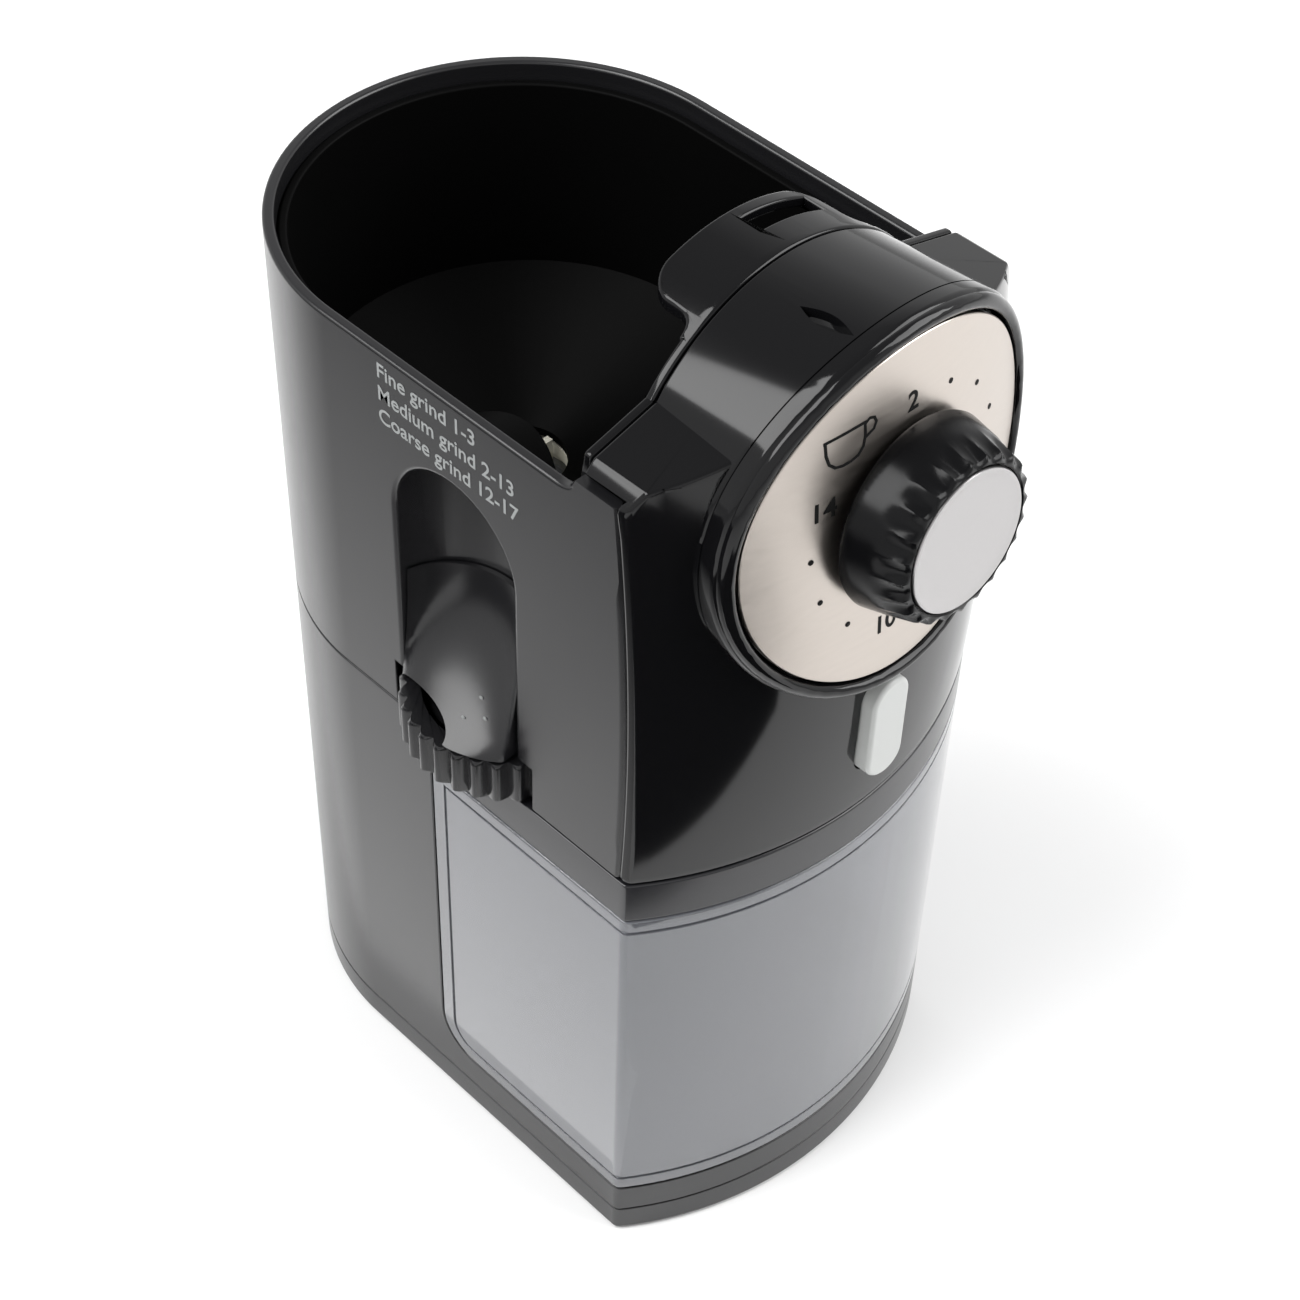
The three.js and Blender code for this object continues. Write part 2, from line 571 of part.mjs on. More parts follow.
function buildFrontPanel() {
  const heights = [UPPER_Z[0] + 0.2, PAST.top];
  const behind = everywhere([PAST.front, PANEL_REAR_Y], heights);
  const bodySide = box([-HALF_WIDTH, HALF_WIDTH], [PAST.front, 0], heights);
  const face = behindFront(0).intersect(behind).intersect(bodySide);
  const outer = face.intersect(alongY(panelOutline(0, HALF_WIDTH, EAR.footZ, 100), [PAST.front, 0]));
  const inner = behindFront(WALL).intersect(alongY(panelOutline(WALL, 60, EAR.footZ, 90), [PAST.front, 0]));

  // Boss: a tube about the dial's axis, closed in front by the wall that carries the plate
  const far = -60;
  const barrel = (radius, start, end, sides = 36) =>
    rod(ORIGIN, radius, [start, 5], sides, dialFrame).intersect(curvedSlab([start, end], dialFrame));
  const tube = barrel(DIAL.rimR, far, BOSS.tubeEnd);
  const nose = barrel(DIAL.plateR, far, BOSS.frontWall[1]);
  const bore = barrel(BOSS.boreR, far - 5, BOSS.frontWall[0], 24);
  const hollow = barrel(BOSS.hollowR, far - 5, BOSS.tubeEnd - 2);
  const boss = tube.add(nose).intersect(behind);
  const hole = pill(BUTTON.width + 0.8, BUTTON.height + 0.8, BUTTON.z);
  const buttonHole = alongY(hole, [PAST.front, -80], 8);
  // The face is cut back round the bezel wherever it would stand in its way
  const bezelSeat = rod(ORIGIN, DIAL.rimR + GAP, [-20, 5], 36, dialFrame)
    .subtract(rod(ORIGIN, DIAL.plateR - GAP, [-21, 6], 36, dialFrame))
    .intersect(curvedSlab([BOSS.tubeEnd, 10], dialFrame));
  const panel = outer
    .subtract(inner)
    .subtract(bezelSeat)
    .subtract(rod(ORIGIN, DIAL.plateR + 0.1, [BOSS.tubeEnd, 5], 36, dialFrame))
    .add(boss)
    .subtract(bore.add(hollow))
    .subtract(rod(ORIGIN, SHAFT_HOLE_R, [-20, 5], 16, dialFrame))
    .subtract(buttonHole);
  add('front_panel', panel, glossBlack);
}

// ---- Dial: bezel, plate, knob and its potentiometer ----------------------------------------
function fluted(radius, depth, flutes) {
  const steps = flutes * 2;
  const points = [];
  for (let i = 0; i < steps; i += 1) {
    const angle = (i * 2 * Math.PI) / steps;
    const r = radius - depth * (0.5 - 0.5 * Math.cos(flutes * angle));
    points.push([r * Math.cos(angle), r * Math.sin(angle)]);
  }
  return polygon(points);
}

function buildDial() {
  const bezel = rod(ORIGIN, DIAL.rimR, [-30, 5], 36)
    .subtract(rod(ORIGIN, DIAL.plateR + GAP, [-31, 6], 36))
    .intersect(curvedSlab([BOSS.tubeEnd + GAP, 0.9]));
  add('dial_bezel', bezel, glossBlack, dialGroup);

  const plate = rod(ORIGIN, DIAL.plateR, [-30, 5], 36)
    .intersect(curvedSlab([-1, 0]))
    .subtract(rod(ORIGIN, SHAFT_HOLE_R, [-20, 5], 16));
  add('dial_plate', plate, brushedSteel, dialGroup);

  // Knob: a tapering barrel whose front half is fluted for grip
  const { baseR, gripR, length, flutes } = KNOB;
  const gripStart = 6.2;
  const capR = 14;
  const capSeat = length - 1.4;
  const shaftEnd = capSeat - 1.6 - GAP;
  const skirt = [[baseR, 0.4], [baseR - 0.6, gripStart]];
  const core = [[gripR - 1, gripStart + 0.4], [gripR - 1.3, length - 0.3]];
  const barrel = turned([[0, 0.4], ...skirt, ...core, [0, length - 0.3]], ORIGIN, 24);
  const grip = prism(fluted(gripR + 0.4, 1.1, flutes), [gripStart + 0.6, length - 0.6]);
  const body = barrel
    .add(grip)
    .subtract(rod(ORIGIN, capR + GAP, [capSeat, 20], 24))
    .subtract(rod(ORIGIN, SHAFT_R + GAP, [-5, shaftEnd + GAP], 16));
  add('knob', body, glossBlack, dialGroup);
  const dish = [[capR, length - 0.2], [capR - 0.7, length + 0.1], [8, length - 0.35], [0, length - 0.6]];
  const cap = turned([[0, capSeat + GAP], [capR, capSeat + GAP], ...dish], ORIGIN, 24);
  add('knob_cap', cap, satinSilver, dialGroup);

  const potTop = BOSS.frontWall[0] - GAP;
  const shaft = rod(ORIGIN, SHAFT_R, [potTop - 5, shaftEnd], 16);
  add('knob_shaft', shaft, machinedSteel, dialGroup);
  const pot = box([-8, 8], [-8, 8], [potTop - 8, potTop - 1.5])
    .add(rod(ORIGIN, 5, [potTop - 2, potTop], 12))
    .subtract(rod(ORIGIN, SHAFT_R + GAP, [potTop - 5 - GAP, potTop + 1], 16));
  add('potentiometer', pot, switchBlack, dialGroup);
}

// ---- Controls behind the panel -------------------------------------------------------------
function buildControls() {
  const faceY = FRONT_CENTRE_Y - FRONT_RADIUS + lean(BUTTON.z);
  const shape = pill(BUTTON.width, BUTTON.height, BUTTON.z);
  const innerY = faceY + WALL;
  const flange = [innerY + 1.2, innerY + 2.4];
  const button = alongY(shape, [faceY - BUTTON.proud, flange[1]], 8)
    .add(alongY(pill(BUTTON.width + 3.2, BUTTON.height + 3.2, BUTTON.z), flange, 8));
  add('start_button', button, buttonGrey);
  const switchFront = flange[1] + BUTTON.travel + GAP;
  const switchY = [switchFront, switchFront + 7];
  const startSwitch = box([-6, 6], switchY, [BUTTON.z - 6, BUTTON.z + 6]);
  add('start_switch', startSwitch, switchBlack);

  const boardY = [switchY[1] + GAP, switchY[1] + GAP + 1.6];
  add('control_board', box([-24, 24], boardY, [122, 154]), boardGreen);

  // Lid switch under the hood's slot; its plunger moves down when a lid's tab is pushed in
  const { slot } = HOOD;
  const plungerX = (slot.x[0] + slot.x[1]) / 2;
  const plungerY = (slot.y[0] + slot.y[1]) / 2;
  const shelfZ = 219;
  const around = (centre, reach) => [centre - reach, centre + reach];
  const well = box(around(plungerX, 2.4), around(plungerY, 1.7), [shelfZ - 4.6, shelfZ + 1]);
  const lidSwitch = box(slot.x, [HOPPER.frontY + GAP, slot.y[1] + 2], [shelfZ - 9, shelfZ]).subtract(well);
  add('lid_switch', lidSwitch, switchBlack);
  const plunger = box(around(plungerX, 2), around(plungerY, 1.3), [shelfZ - 2.2, shelfZ + 4.5]);
  add('lid_switch_plunger', plunger, buttonGrey);
}

// ---- Grind setting: thumb wheel, its scoop, and the bell that carries the upper burr -------

// The scoop lies against the recess's hollow wall above, and sweeps out over the wheel's edge below.
function scoopBody() {
  const middle = (RECESS.y[0] + RECESS.y[1]) / 2;
  const halfSpan = (RECESS.y[1] - RECESS.y[0]) / 2 - GAP;
  const columns = 12;
  const levels = 8;
  const rings = [];
  for (let k = 0; k <= levels; k += 1) {
    const rise = (SCOOP.share * k) / levels;
    const weight = (1 - rise) ** SCOOP.sweep;
    const front = [];
    const back = [];
    for (let i = 0; i <= columns; i += 1) {
      const y = SCOOP.y[0] + ((SCOOP.y[1] - SCOOP.y[0]) * i) / columns;
      const hollow = -HALF_WIDTH + (RECESS.depth - GAP) * Math.sqrt(1 - ((y - middle) / halfSpan) ** 2);
      const bulge = WHEEL.x - Math.sqrt(SCOOP.edgeR ** 2 - (y - WHEEL.y) ** 2);
      front.unshift([(hollow - SCOOP.lip) * (1 - weight) + bulge * weight, y]);
      back.push([hollow, y]);
    }
    const z = SCOOP.foot + SCOOP.height * rise;
    rings.push([...front, ...back].map(([x, y]) => [x, y, z]));
  }
  return lofted(rings);
}

function buildGrindSetting() {
  const [z0, z1] = WHEEL.z;
  const towardsBurr = WHEEL_BEARING + Math.PI;
  const rim = gear(WHEEL_TEETH, ADJUST_MODULE, gapTowards(towardsBurr, WHEEL_TEETH), WHEEL, [z0, z1])
    .subtract(rod(WHEEL, 17.5, [z0 - 1, z1 - 2], 24))
    .add(rod(WHEEL, 4.5, [z0 + 0.5, z1 - 1], 12))
    .subtract(rod(WHEEL, WHEEL_PIN.radius + GAP, [z0 - 1, z1 + 1], 12));
  add('grind_wheel', rim, satinBlack);
  add('wheel_pin', rod(WHEEL, WHEEL_PIN.radius, [z0 + 0.8, WHEEL_PIN.top], 12), machinedSteel);

  // A low arch in the scoop's foot shows the wheel's top
  const { halfWidth, height } = SCOOP_NOTCH;
  const notch = new THREE.Shape().absellipse(SCOOP_NOTCH.y, SCOOP.foot, halfWidth, height, 0, 2 * Math.PI);
  const scoop = scoopBody()
    .subtract(alongX(notch, [-70, -40], 10))
    .subtract(rod(WHEEL, WHEEL_PIN.radius + GAP, [PAST.floor, WHEEL_PIN.top + GAP], 12));
  add('thumb_scoop', scoop, satinBlack);

  // Bell: a geared skirt outside the chamber wall, and a wider roof that holds the upper burr
  const skirt = [124.5, z1 + 0.4];
  const roof = 136.6;
  const bell = gear(BELL_TEETH, ADJUST_MODULE, WHEEL_BEARING, BURR, skirt)
    .add(rod(BURR, 32, [skirt[1], 139.4], 24))
    .subtract(rod(BURR, 27.6, [100, roof], 24))
    .add(ring(BURR, 22, 12, [133.9, roof + 1]))
    .subtract(rod(BURR, HOPPER.throatR + 0.4, [100, 150], 24));
  add('adjusting_bell', bell, gearNylon);
  add('upper_burr', burr(10.8, 22.5, [129.2, 133.6], false), machinedSteel);
}

// The frame of one of several spokes about the burr axis
const spoke = (i, count) =>
  new THREE.Matrix4().makeRotationZ((i * 2 * Math.PI) / count).setPosition(BURR.x, BURR.y, 0);

// A flat ring burr with slanting cutting grooves on one face
function burr(inner, outer, [z0, z1], grooveOnTop) {
  let body = ring(BURR, outer, inner, [z0, z1], 24);
  const grooves = 8;
  const depth = 1;
  const z = grooveOnTop ? [z1 - depth, z1 + 1] : [z0 - 1, z0 + depth];
  for (let i = 0; i < grooves; i += 1) {
    const slant = new THREE.Matrix4().makeRotationZ(0.45).setPosition(3, 0, 0);
    body = body.subtract(box([inner - 5, outer + 6], [-0.9, 0.9], z, spoke(i, grooves).multiply(slant)));
  }
  return body;
}

// ---- Grinding works ------------------------------------------------------------------------

function buildGrindingWorks() {
  const chamber = rod(BURR, CHAMBER.outerR, [CHAMBER.floorZ[0], CHAMBER.top], 24)
    .subtract(rod(BURR, CHAMBER.innerR, [CHAMBER.floorZ[1], CHAMBER.top + 1], 24))
    .subtract(rod(BURR, SPINDLE.radius + 1.5, [110, 130], 16))
    .subtract(box([-8, 8], [-40, BURR.y - 15], [CHAMBER.floorZ[1], 123.8]));
  add('grinding_chamber', chamber, gearNylon);

  const { x, y, z, wall } = CHUTE;
  const chute = box(x, y, z)
    .subtract(box([x[0] + wall, x[1] - wall], [y[0] + wall, y[1] + 5], [110, z[1] - wall]))
    .subtract(rod(BURR, CHAMBER.outerR + GAP, [100, 130], 24));
  add('grounds_chute', chute, switchBlack);

  // Lower burr on a carrier whose paddles sweep the grounds to the chute
  let carrier = rod(BURR, 23.2, [122, 124], 24).add(rod(BURR, 5.5, [121, 130.3], 16));
  const paddles = 4;
  for (let i = 0; i < paddles; i += 1) {
    const frame = spoke(i, paddles);
    carrier = carrier.add(box([6, 24.2], [-1, 1], [120.9, 123.5], frame));
  }
  add('burr_carrier', carrier.subtract(rod(BURR, SPINDLE.radius + GAP, [100, 140], 12)), gearNylon);
  add('lower_burr', burr(8, 22.5, [124.3, 128.4], true), machinedSteel);
  add('spindle', rod(BURR, SPINDLE.radius, SPINDLE.z, 12), machinedSteel);

  let auger = turned([[0, 130.6], [5.5, 130.6], [5, 140], [2.5, 145.5], [0, 146]], BURR, 16);
  const blades = 3;
  for (let i = 0; i < blades; i += 1) {
    const frame = spoke(i, blades);
    auger = auger.add(box([1, 8.6], [-0.8, 0.8], [134.4, 142.5], frame));
  }
  const bore = rod(BURR, SPINDLE.radius + GAP, [100, SPINDLE.z[1] + GAP], 12);
  add('feed_auger', auger.subtract(bore), gearNylon);
}

// ---- Drive: motor, two gear stages and their plates -----------------------------------------

function compartmentPlate(heights, holes) {
  const room = everywhere([BAY_Y + WALL + GAP, PAST.rear], [PAST.floor, 130]);
  const plate = prism(bodyPlan(WALL + GAP), heights).intersect(room);
  return holes.reduce((solid, [centre, radius]) => solid.subtract(rod(centre, radius, [0, 130], 16)), plate);
}

function buildDrive() {
  const { radius, z, wall } = MOTOR_CAN;
  const can = rod(MOTOR, radius, z, 24)
    .subtract(rod(MOTOR, radius - wall, [z[0] + wall, z[1] + 1], 24))
    .subtract(rod(MOTOR, 4, [0, 60], 12));
  add('motor_can', can, motorSteel);
  add('motor_magnets', ring(MOTOR, radius - wall - GAP, 17, [34, 74]), motorSteel);
  add('motor_rotor', ring(MOTOR, 15.5, MOTOR_SHAFT_R + GAP, [32, 76]), motorSteel);
  add('motor_shaft', rod(MOTOR, MOTOR_SHAFT_R, [21.5, 97.4], 12), machinedSteel);

  // Screws hold the motor up to its mounting plate
  const spread = 17;
  const spots = [-1, 1].map((side) => ({ x: MOTOR.x + side * spread, y: MOTOR.y }));
  spots.forEach((spot, i) => {
    const profile = [[0, 85], [1.4, 85], [1.4, 89.8], [2.8, 89.8], [2.8, 91.2], [0, 91.6]];
    add(`motor_screw_${i + 1}`, turned(profile, spot, 10), machinedSteel);
  });
  const screwHoles = spots.map((spot) => [spot, 1.7]);
  const endCap = ring(MOTOR, radius, 4, [z[1] + GAP, MOUNT_Z[0] - GAP]);
  const tapped = spots.reduce((solid, spot) => solid.subtract(rod(spot, 1.7, [80, 90], 10)), endCap);
  add('motor_end_cap', tapped, switchBlack);
  add('motor_mount', compartmentPlate(MOUNT_Z, [[MOTOR, 7], ...screwHoles]), motorSteel);

  const toIdler = MOTOR_BEARING + Math.PI;
  const pinion = gear(PINION_TEETH, DRIVE_MODULE, toIdler, MOTOR, [92, 97])
    .subtract(rod(MOTOR, MOTOR_SHAFT_R + GAP, [PAST.floor, 130], 12));
  add('motor_pinion', pinion, brass);

  const largePhase = gapTowards(MOTOR_BEARING, IDLER_LARGE_TEETH);
  const large = gear(IDLER_LARGE_TEETH, DRIVE_MODULE, largePhase, IDLER, [92.3, 96.7]);
  const small = gear(IDLER_SMALL_TEETH, DRIVE_MODULE, IDLER_BEARING + Math.PI, IDLER, [96.5, 108]);
  add('idler_gear', large.add(small).subtract(rod(IDLER, 2.3, [0, 130], 12)), gearNylon);
  add('idler_pin', rod(IDLER, 2, [MOUNT_Z[1] + GAP, TOP_PLATE_Z[0] - GAP], 12), machinedSteel);

  const drive = gear(DRIVE_TEETH, DRIVE_MODULE, gapTowards(IDLER_BEARING, DRIVE_TEETH), BURR, [102, 107])
    .add(rod(BURR, 7, [101.4, 110], 16))
    .subtract(rod(BURR, SPINDLE.radius + GAP, [0, 130], 12));
  add('drive_gear', drive, gearNylon);

  add('gearbox_plate', compartmentPlate(MID_PLATE_Z, [[BURR, 7.3], [IDLER, 8]]), motorSteel);
  add('top_plate', compartmentPlate(TOP_PLATE_Z, [[BURR, 8.3]]), motorSteel);
  add('lower_bearing', ring(BURR, 7, SPINDLE.radius + GAP, [98.4, 101], 16), brass);
  add('upper_bearing', ring(BURR, 8, SPINDLE.radius + GAP, [113.6, 118.2], 16), brass);
}

// The origin is put under the middle of the whole machine, cord gland and wheel included.
function centreOnFloor() {
  const bounds = new THREE.Box3().setFromObject(grinder);
  const middle = bounds.getCenter(new THREE.Vector3());
  grinder.children.forEach((child) => child.position.sub(new THREE.Vector3(middle.x, middle.y, FOOT_Z)));
}

buildBase();
buildLowerHousing();
buildContainer();
buildUpperHousing();
buildHopper();
buildHood();
buildFrontPanel();
buildDial();
buildControls();
buildGrindSetting();
buildGrindingWorks();
buildDrive();
centreOnFloor();

export default grinder;
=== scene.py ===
"""Looks of the burr coffee grinder: detailed shells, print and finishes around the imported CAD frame.

Lengths are written in millimetres in a drawing frame whose x = 0 is the machine's middle, whose
y = 0 is the centre of the round back, and whose z = 0 is the floor. place() turns them into the row frame.
"""

import json
import math

import bmesh
import bpy
from mathutils import Matrix, Vector


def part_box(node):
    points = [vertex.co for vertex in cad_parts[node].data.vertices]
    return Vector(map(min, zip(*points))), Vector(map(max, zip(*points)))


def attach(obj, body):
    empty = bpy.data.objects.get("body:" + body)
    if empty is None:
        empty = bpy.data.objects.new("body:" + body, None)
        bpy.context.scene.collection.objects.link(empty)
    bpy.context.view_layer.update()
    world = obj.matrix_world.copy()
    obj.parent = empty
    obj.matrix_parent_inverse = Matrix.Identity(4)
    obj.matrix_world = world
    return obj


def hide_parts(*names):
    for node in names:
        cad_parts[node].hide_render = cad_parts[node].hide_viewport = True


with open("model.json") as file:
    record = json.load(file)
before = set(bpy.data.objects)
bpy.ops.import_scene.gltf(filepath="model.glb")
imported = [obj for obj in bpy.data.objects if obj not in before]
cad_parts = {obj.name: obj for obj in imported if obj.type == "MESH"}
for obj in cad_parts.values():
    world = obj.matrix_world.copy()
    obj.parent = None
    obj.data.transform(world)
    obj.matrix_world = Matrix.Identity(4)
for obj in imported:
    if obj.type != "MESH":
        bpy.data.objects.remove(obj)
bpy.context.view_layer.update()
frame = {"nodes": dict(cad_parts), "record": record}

# ---- Dimensions shared with the CAD model, in millimetres --------------------------------------
MM = 0.001
GAP = 0.3
WALL = 2.2
HALF_WIDTH = 48.5
FRONT_RADIUS = 81.5
CORNER_Y = -80.0
FRONT_CENTRE_Y = CORNER_Y + math.sqrt(FRONT_RADIUS**2 - HALF_WIDTH**2)
FLOOR_PLATE_Z = (0.8, 7.8)
HOUSING_Z = (8.1, 117.9)
SOLE_TOP = 15.9
CONTAINER_Z = (16.2, 106.9)
LID_Z = (107.2, 117.8)
UPPER_Z = (118.2, 207.4)
DECK_TOP = 120.0
SHOULDER_Z = 210.7
BAY_Y = -24.3
CORNER_ROUND = 10.0
LEAN_RADIUS = 510.0
LEAN_APEX_Z = 150.0
PANEL_REAR_Y = -66.4
EAR = {"outer": (45.3, 214.5), "inner": (31.2, 218.3), "foot": 211.0}
DIAL_Y, DIAL_Z = -97.9, 196.4
DIAL_TILT = math.radians(4.4)
DIAL_BEND = 104.0
PLATE_R, RIM_R = 35.4, 39.3
BUTTON_Z, BUTTON_W, BUTTON_H = 141.5, 9.6, 24.8
WHEEL_AXIS = (-35.75, -34.64)
WHEEL_Z = (118.7, 128.9)
RECESS_Y = (-49.8, -17.6)
RECESS_TOP, RECESS_DEPTH = 188.5, 14.5
WINDOW_Y = (-52.4, -16.2)
WINDOW_TOP = 129.4
BURR_AXIS = (0.0, 2.0)
HOOD_SLOT = ((0.5, 16.5), (-59.2, -54.6))

housing_low, housing_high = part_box("lower_housing")
SHIFT = Vector(((housing_low.x + housing_high.x) / 2, housing_high.y - HALF_WIDTH * MM, 0))


def place(point):
    """A drawing point in millimetres as a row-frame point in metres."""
    return Vector(point) * MM + SHIFT


# ---- Camera ----------------------------------------------------------------------------------
def make_camera():
    azimuth, elevation, roll = math.radians(-45.83), math.radians(45.75), math.radians(2.03)
    forward = Vector(
        (
            -math.sin(azimuth) * math.cos(elevation),
            math.cos(azimuth) * math.cos(elevation),
            -math.sin(elevation),
        )
    )
    right = forward.cross(Vector((0, 0, 1))).normalized()
    up = right.cross(forward)
    side = right * math.cos(roll) + up * math.sin(roll)
    top = up * math.cos(roll) - right * math.sin(roll)
    data = bpy.data.cameras.new("camera")
    data.lens = 75.02
    data.sensor_width = 36.0
    camera = bpy.data.objects.new("camera", data)
    bpy.context.scene.collection.objects.link(camera)
    turn = Matrix((side, top, -forward)).transposed().to_4x4()
    camera.matrix_world = Matrix.Translation(place((-277.07, -306.33, 511.82))) @ turn
    bpy.context.scene.camera = camera


make_camera()


# ---- Outlines --------------------------------------------------------------------------------
def arc(centre, radius, start, end, steps):
    """Points on a circle from one angle to another, in radians."""
    angles = [start + (end - start) * i / steps for i in range(steps + 1)]
    return [(centre[0] + radius * math.cos(a), centre[1] + radius * math.sin(a)) for a in angles]


def circle(centre, radius, sides):
    return arc(centre, radius, 0, 2 * math.pi, sides)[:-1]


def body_plan(inset=0.0, rear_steps=72, front_steps=40):
    """The D-shaped plan, drawn in by an inset."""
    half, radius = HALF_WIDTH - inset, FRONT_RADIUS - inset
    spread = math.asin(half / radius)
    rear = arc((0, 0), half, 0, math.pi, rear_steps)
    front = arc((0, FRONT_CENTRE_Y), radius, -math.pi / 2 - spread, -math.pi / 2 + spread, front_steps)
    return rear + front


def lean(z):
    """How far back the front face stands at a height, against its foot."""
    foot = UPPER_Z[0] - LEAN_APEX_Z
    return ((z - LEAN_APEX_Z) ** 2 - foot**2) / (2 * LEAN_RADIUS)


def panel_outline(drop=0.0, width=HALF_WIDTH, bottom=118.4):
    """The front panel seen from the front: flat ears either side of the round boss."""
    outer, inner = EAR["outer"], EAR["inner"]
    right = [
        (width, bottom),
        (width, EAR["foot"]),
        (outer[0] - drop * 0.3, outer[1] - drop),
        (inner[0], inner[1] - drop),
    ]
    return right + [(-x, z) for x, z in reversed(right)]


def pill(width, height, centre_z, steps=24):
    radius = width / 2
    half = height / 2 - radius
    upper = arc((0, centre_z + half), radius, 0, math.pi, steps)
    lower = arc((0, centre_z - half), radius, math.pi, 2 * math.pi, steps)
    return upper + lower


# ---- Mesh building ---------------------------------------------------------------------------
def new_object(name, points, faces):
    """An object from drawing points, with its faces turned outwards."""
    mesh = bpy.data.meshes.new(name)
    mesh.from_pydata([place(p) for p in points], [], faces)
    form = bmesh.new()
    form.from_mesh(mesh)
    bmesh.ops.remove_doubles(form, verts=form.verts, dist=1e-7)
    bmesh.ops.connect_verts_nonplanar(form, angle_limit=math.radians(0.02), faces=form.faces)
    bmesh.ops.recalc_face_normals(form, faces=form.faces)
    form.to_mesh(mesh)
    form.free()
    made = bpy.data.objects.new(name, mesh)
    bpy.context.scene.collection.objects.link(made)
    return made


def loft(name, rings, closed=False):
    """A skin over rings of equal length. The end rings are capped unless the loft closes on itself."""
    count = len(rings[0])
    points = [p for ring in rings for p in ring]
    faces = []
    for k in range(len(rings) if closed else len(rings) - 1):
        low, high = k * count, (k + 1) % len(rings) * count
        for i in range(count):
            j = (i + 1) % count
            faces.append((low + i, low + j, high + j, high + i))
    if not closed:
        faces.append(tuple(range(count)))
        faces.append(tuple(range(len(points) - count, len(points))))
    return new_object(name, points, faces)


def prism(name, outline, z0, z1):
    return loft(name, [[(x, y, z) for x, y in outline] for z in (z0, z1)])


def along_y(name, outline, y0, y1):
    return loft(name, [[(x, y, z) for x, z in outline] for y in (y0, y1)])


def along_x(name, outline, x0, x1):
    return loft(name, [[(x, y, z) for y, z in outline] for x in (x0, x1)])


def block(name, x, y, z):
    return prism(name, [(x[0], y[0]), (x[1], y[0]), (x[1], y[1]), (x[0], y[1])], *z)


def turned(name, profile, centre, sides=64, lift=None):
    """A profile of (radius, height) turned about an upright axis. lift moves points onto another frame."""
    rings = []
    for r, z in profile:
        flat = circle((0, 0), max(r, 1e-4), sides)
        ring = [(centre[0] + x, centre[1] + y, z) for x, y in flat]
        rings.append([lift(p) for p in ring] if lift else ring)
    return loft(name, rings, closed=profile[0] == profile[-1])


def bake(target):
    """Applies an object's modifiers to its mesh."""
    bpy.context.view_layer.update()
    seen = target.evaluated_get(bpy.context.evaluated_depsgraph_get())
    mesh = bpy.data.meshes.new_from_object(seen)
    target.modifiers.clear()
    target.data = mesh


def combine(target, operation, tools):
    for tool in tools:
        step = target.modifiers.new("combine", "BOOLEAN")
        step.operation = operation
        step.solver = "MANIFOLD"
        step.object = tool
        bake(target)
        bpy.data.objects.remove(tool)
    return target


def cut(target, *tools):
    return combine(target, "DIFFERENCE", tools)


def join(target, *tools):
    return combine(target, "UNION", tools)


def keep(target, *tools):
    return combine(target, "INTERSECT", tools)


def convex(edge, least=35):
    """True for an outward edge sharper than an angle in degrees."""
    return len(edge.link_faces) == 2 and math.degrees(edge.calc_face_angle_signed(0)) > least


def soften(target, *rules, segments=3):
    """Rounds the edges that rules pick. A rule is (width, test of the edge's middle and the edge)."""
    form = bmesh.new()
    form.from_mesh(target.data)
    bmesh.ops.remove_doubles(form, verts=form.verts, dist=2e-6)
    bmesh.ops.dissolve_degenerate(form, edges=form.edges, dist=2e-6)
    layer = form.edges.layers.float.new("bevel_weight_edge")
    widest = max(width for width, _ in rules)
    for edge in form.edges:
        middle = ((edge.verts[0].co + edge.verts[1].co) / 2 - SHIFT) / MM
        for width, test in rules:
            if test(middle, edge):
                edge[layer] = width / widest
                break
    form.to_mesh(target.data)
    form.free()
    step = target.modifiers.new("round", "BEVEL")
    step.limit_method = "WEIGHT"
    step.offset_type = "OFFSET"
    step.width = widest * MM
    step.segments = segments
    step.use_clamp_overlap = False
    step.miter_outer = "MITER_ARC"
    bake(target)
    return smooth(target)


def smooth(target, angle=32):
    target.data.shade_smooth()
    target.data.set_sharp_from_angle(angle=math.radians(angle))
    step = target.modifiers.new("normals", "WEIGHTED_NORMAL")
    step.keep_sharp = True
    return target


def settle(piece, body, material, nodes=()):
    """Gives a finished piece its material and its body, and hides the CAD nodes that it stands for."""
    piece.data.materials.clear()
    piece.data.materials.append(material)
    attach(piece, body)
    if nodes:
        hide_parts(*nodes)
    return piece


# ---- Materials -------------------------------------------------------------------------------
def node_material(name):
    material = bpy.data.materials.new(name)
    material.use_nodes = True
    tree = material.node_tree
    return material, tree, tree.nodes["Principled BSDF"]


def add_node(tree, kind, **values):
    node = tree.nodes.new(kind)
    for key, value in values.items():
        if key in node.inputs:
            node.inputs[key].default_value = value
        else:
            setattr(node, key, value)
    return node


def noise_on(tree, stretch, scale, detail=3.0):
    """Noise in object coordinates, stretched along the axes."""
    coords = add_node(tree, "ShaderNodeTexCoord")
    mapping = add_node(tree, "ShaderNodeMapping")
    mapping.inputs["Scale"].default_value = stretch
    noise = add_node(tree, "ShaderNodeTexNoise", Scale=scale, Detail=detail)
    tree.links.new(coords.outputs["Object"], mapping.inputs["Vector"])
    tree.links.new(mapping.outputs["Vector"], noise.inputs["Vector"])
    return noise


def spread(tree, source, low, high):
    """Maps a 0 to 1 value onto a range."""
    node = add_node(tree, "ShaderNodeMapRange")
    node.inputs["To Min"].default_value = low
    node.inputs["To Max"].default_value = high
    tree.links.new(source, node.inputs["Value"])
    return node.outputs["Result"]


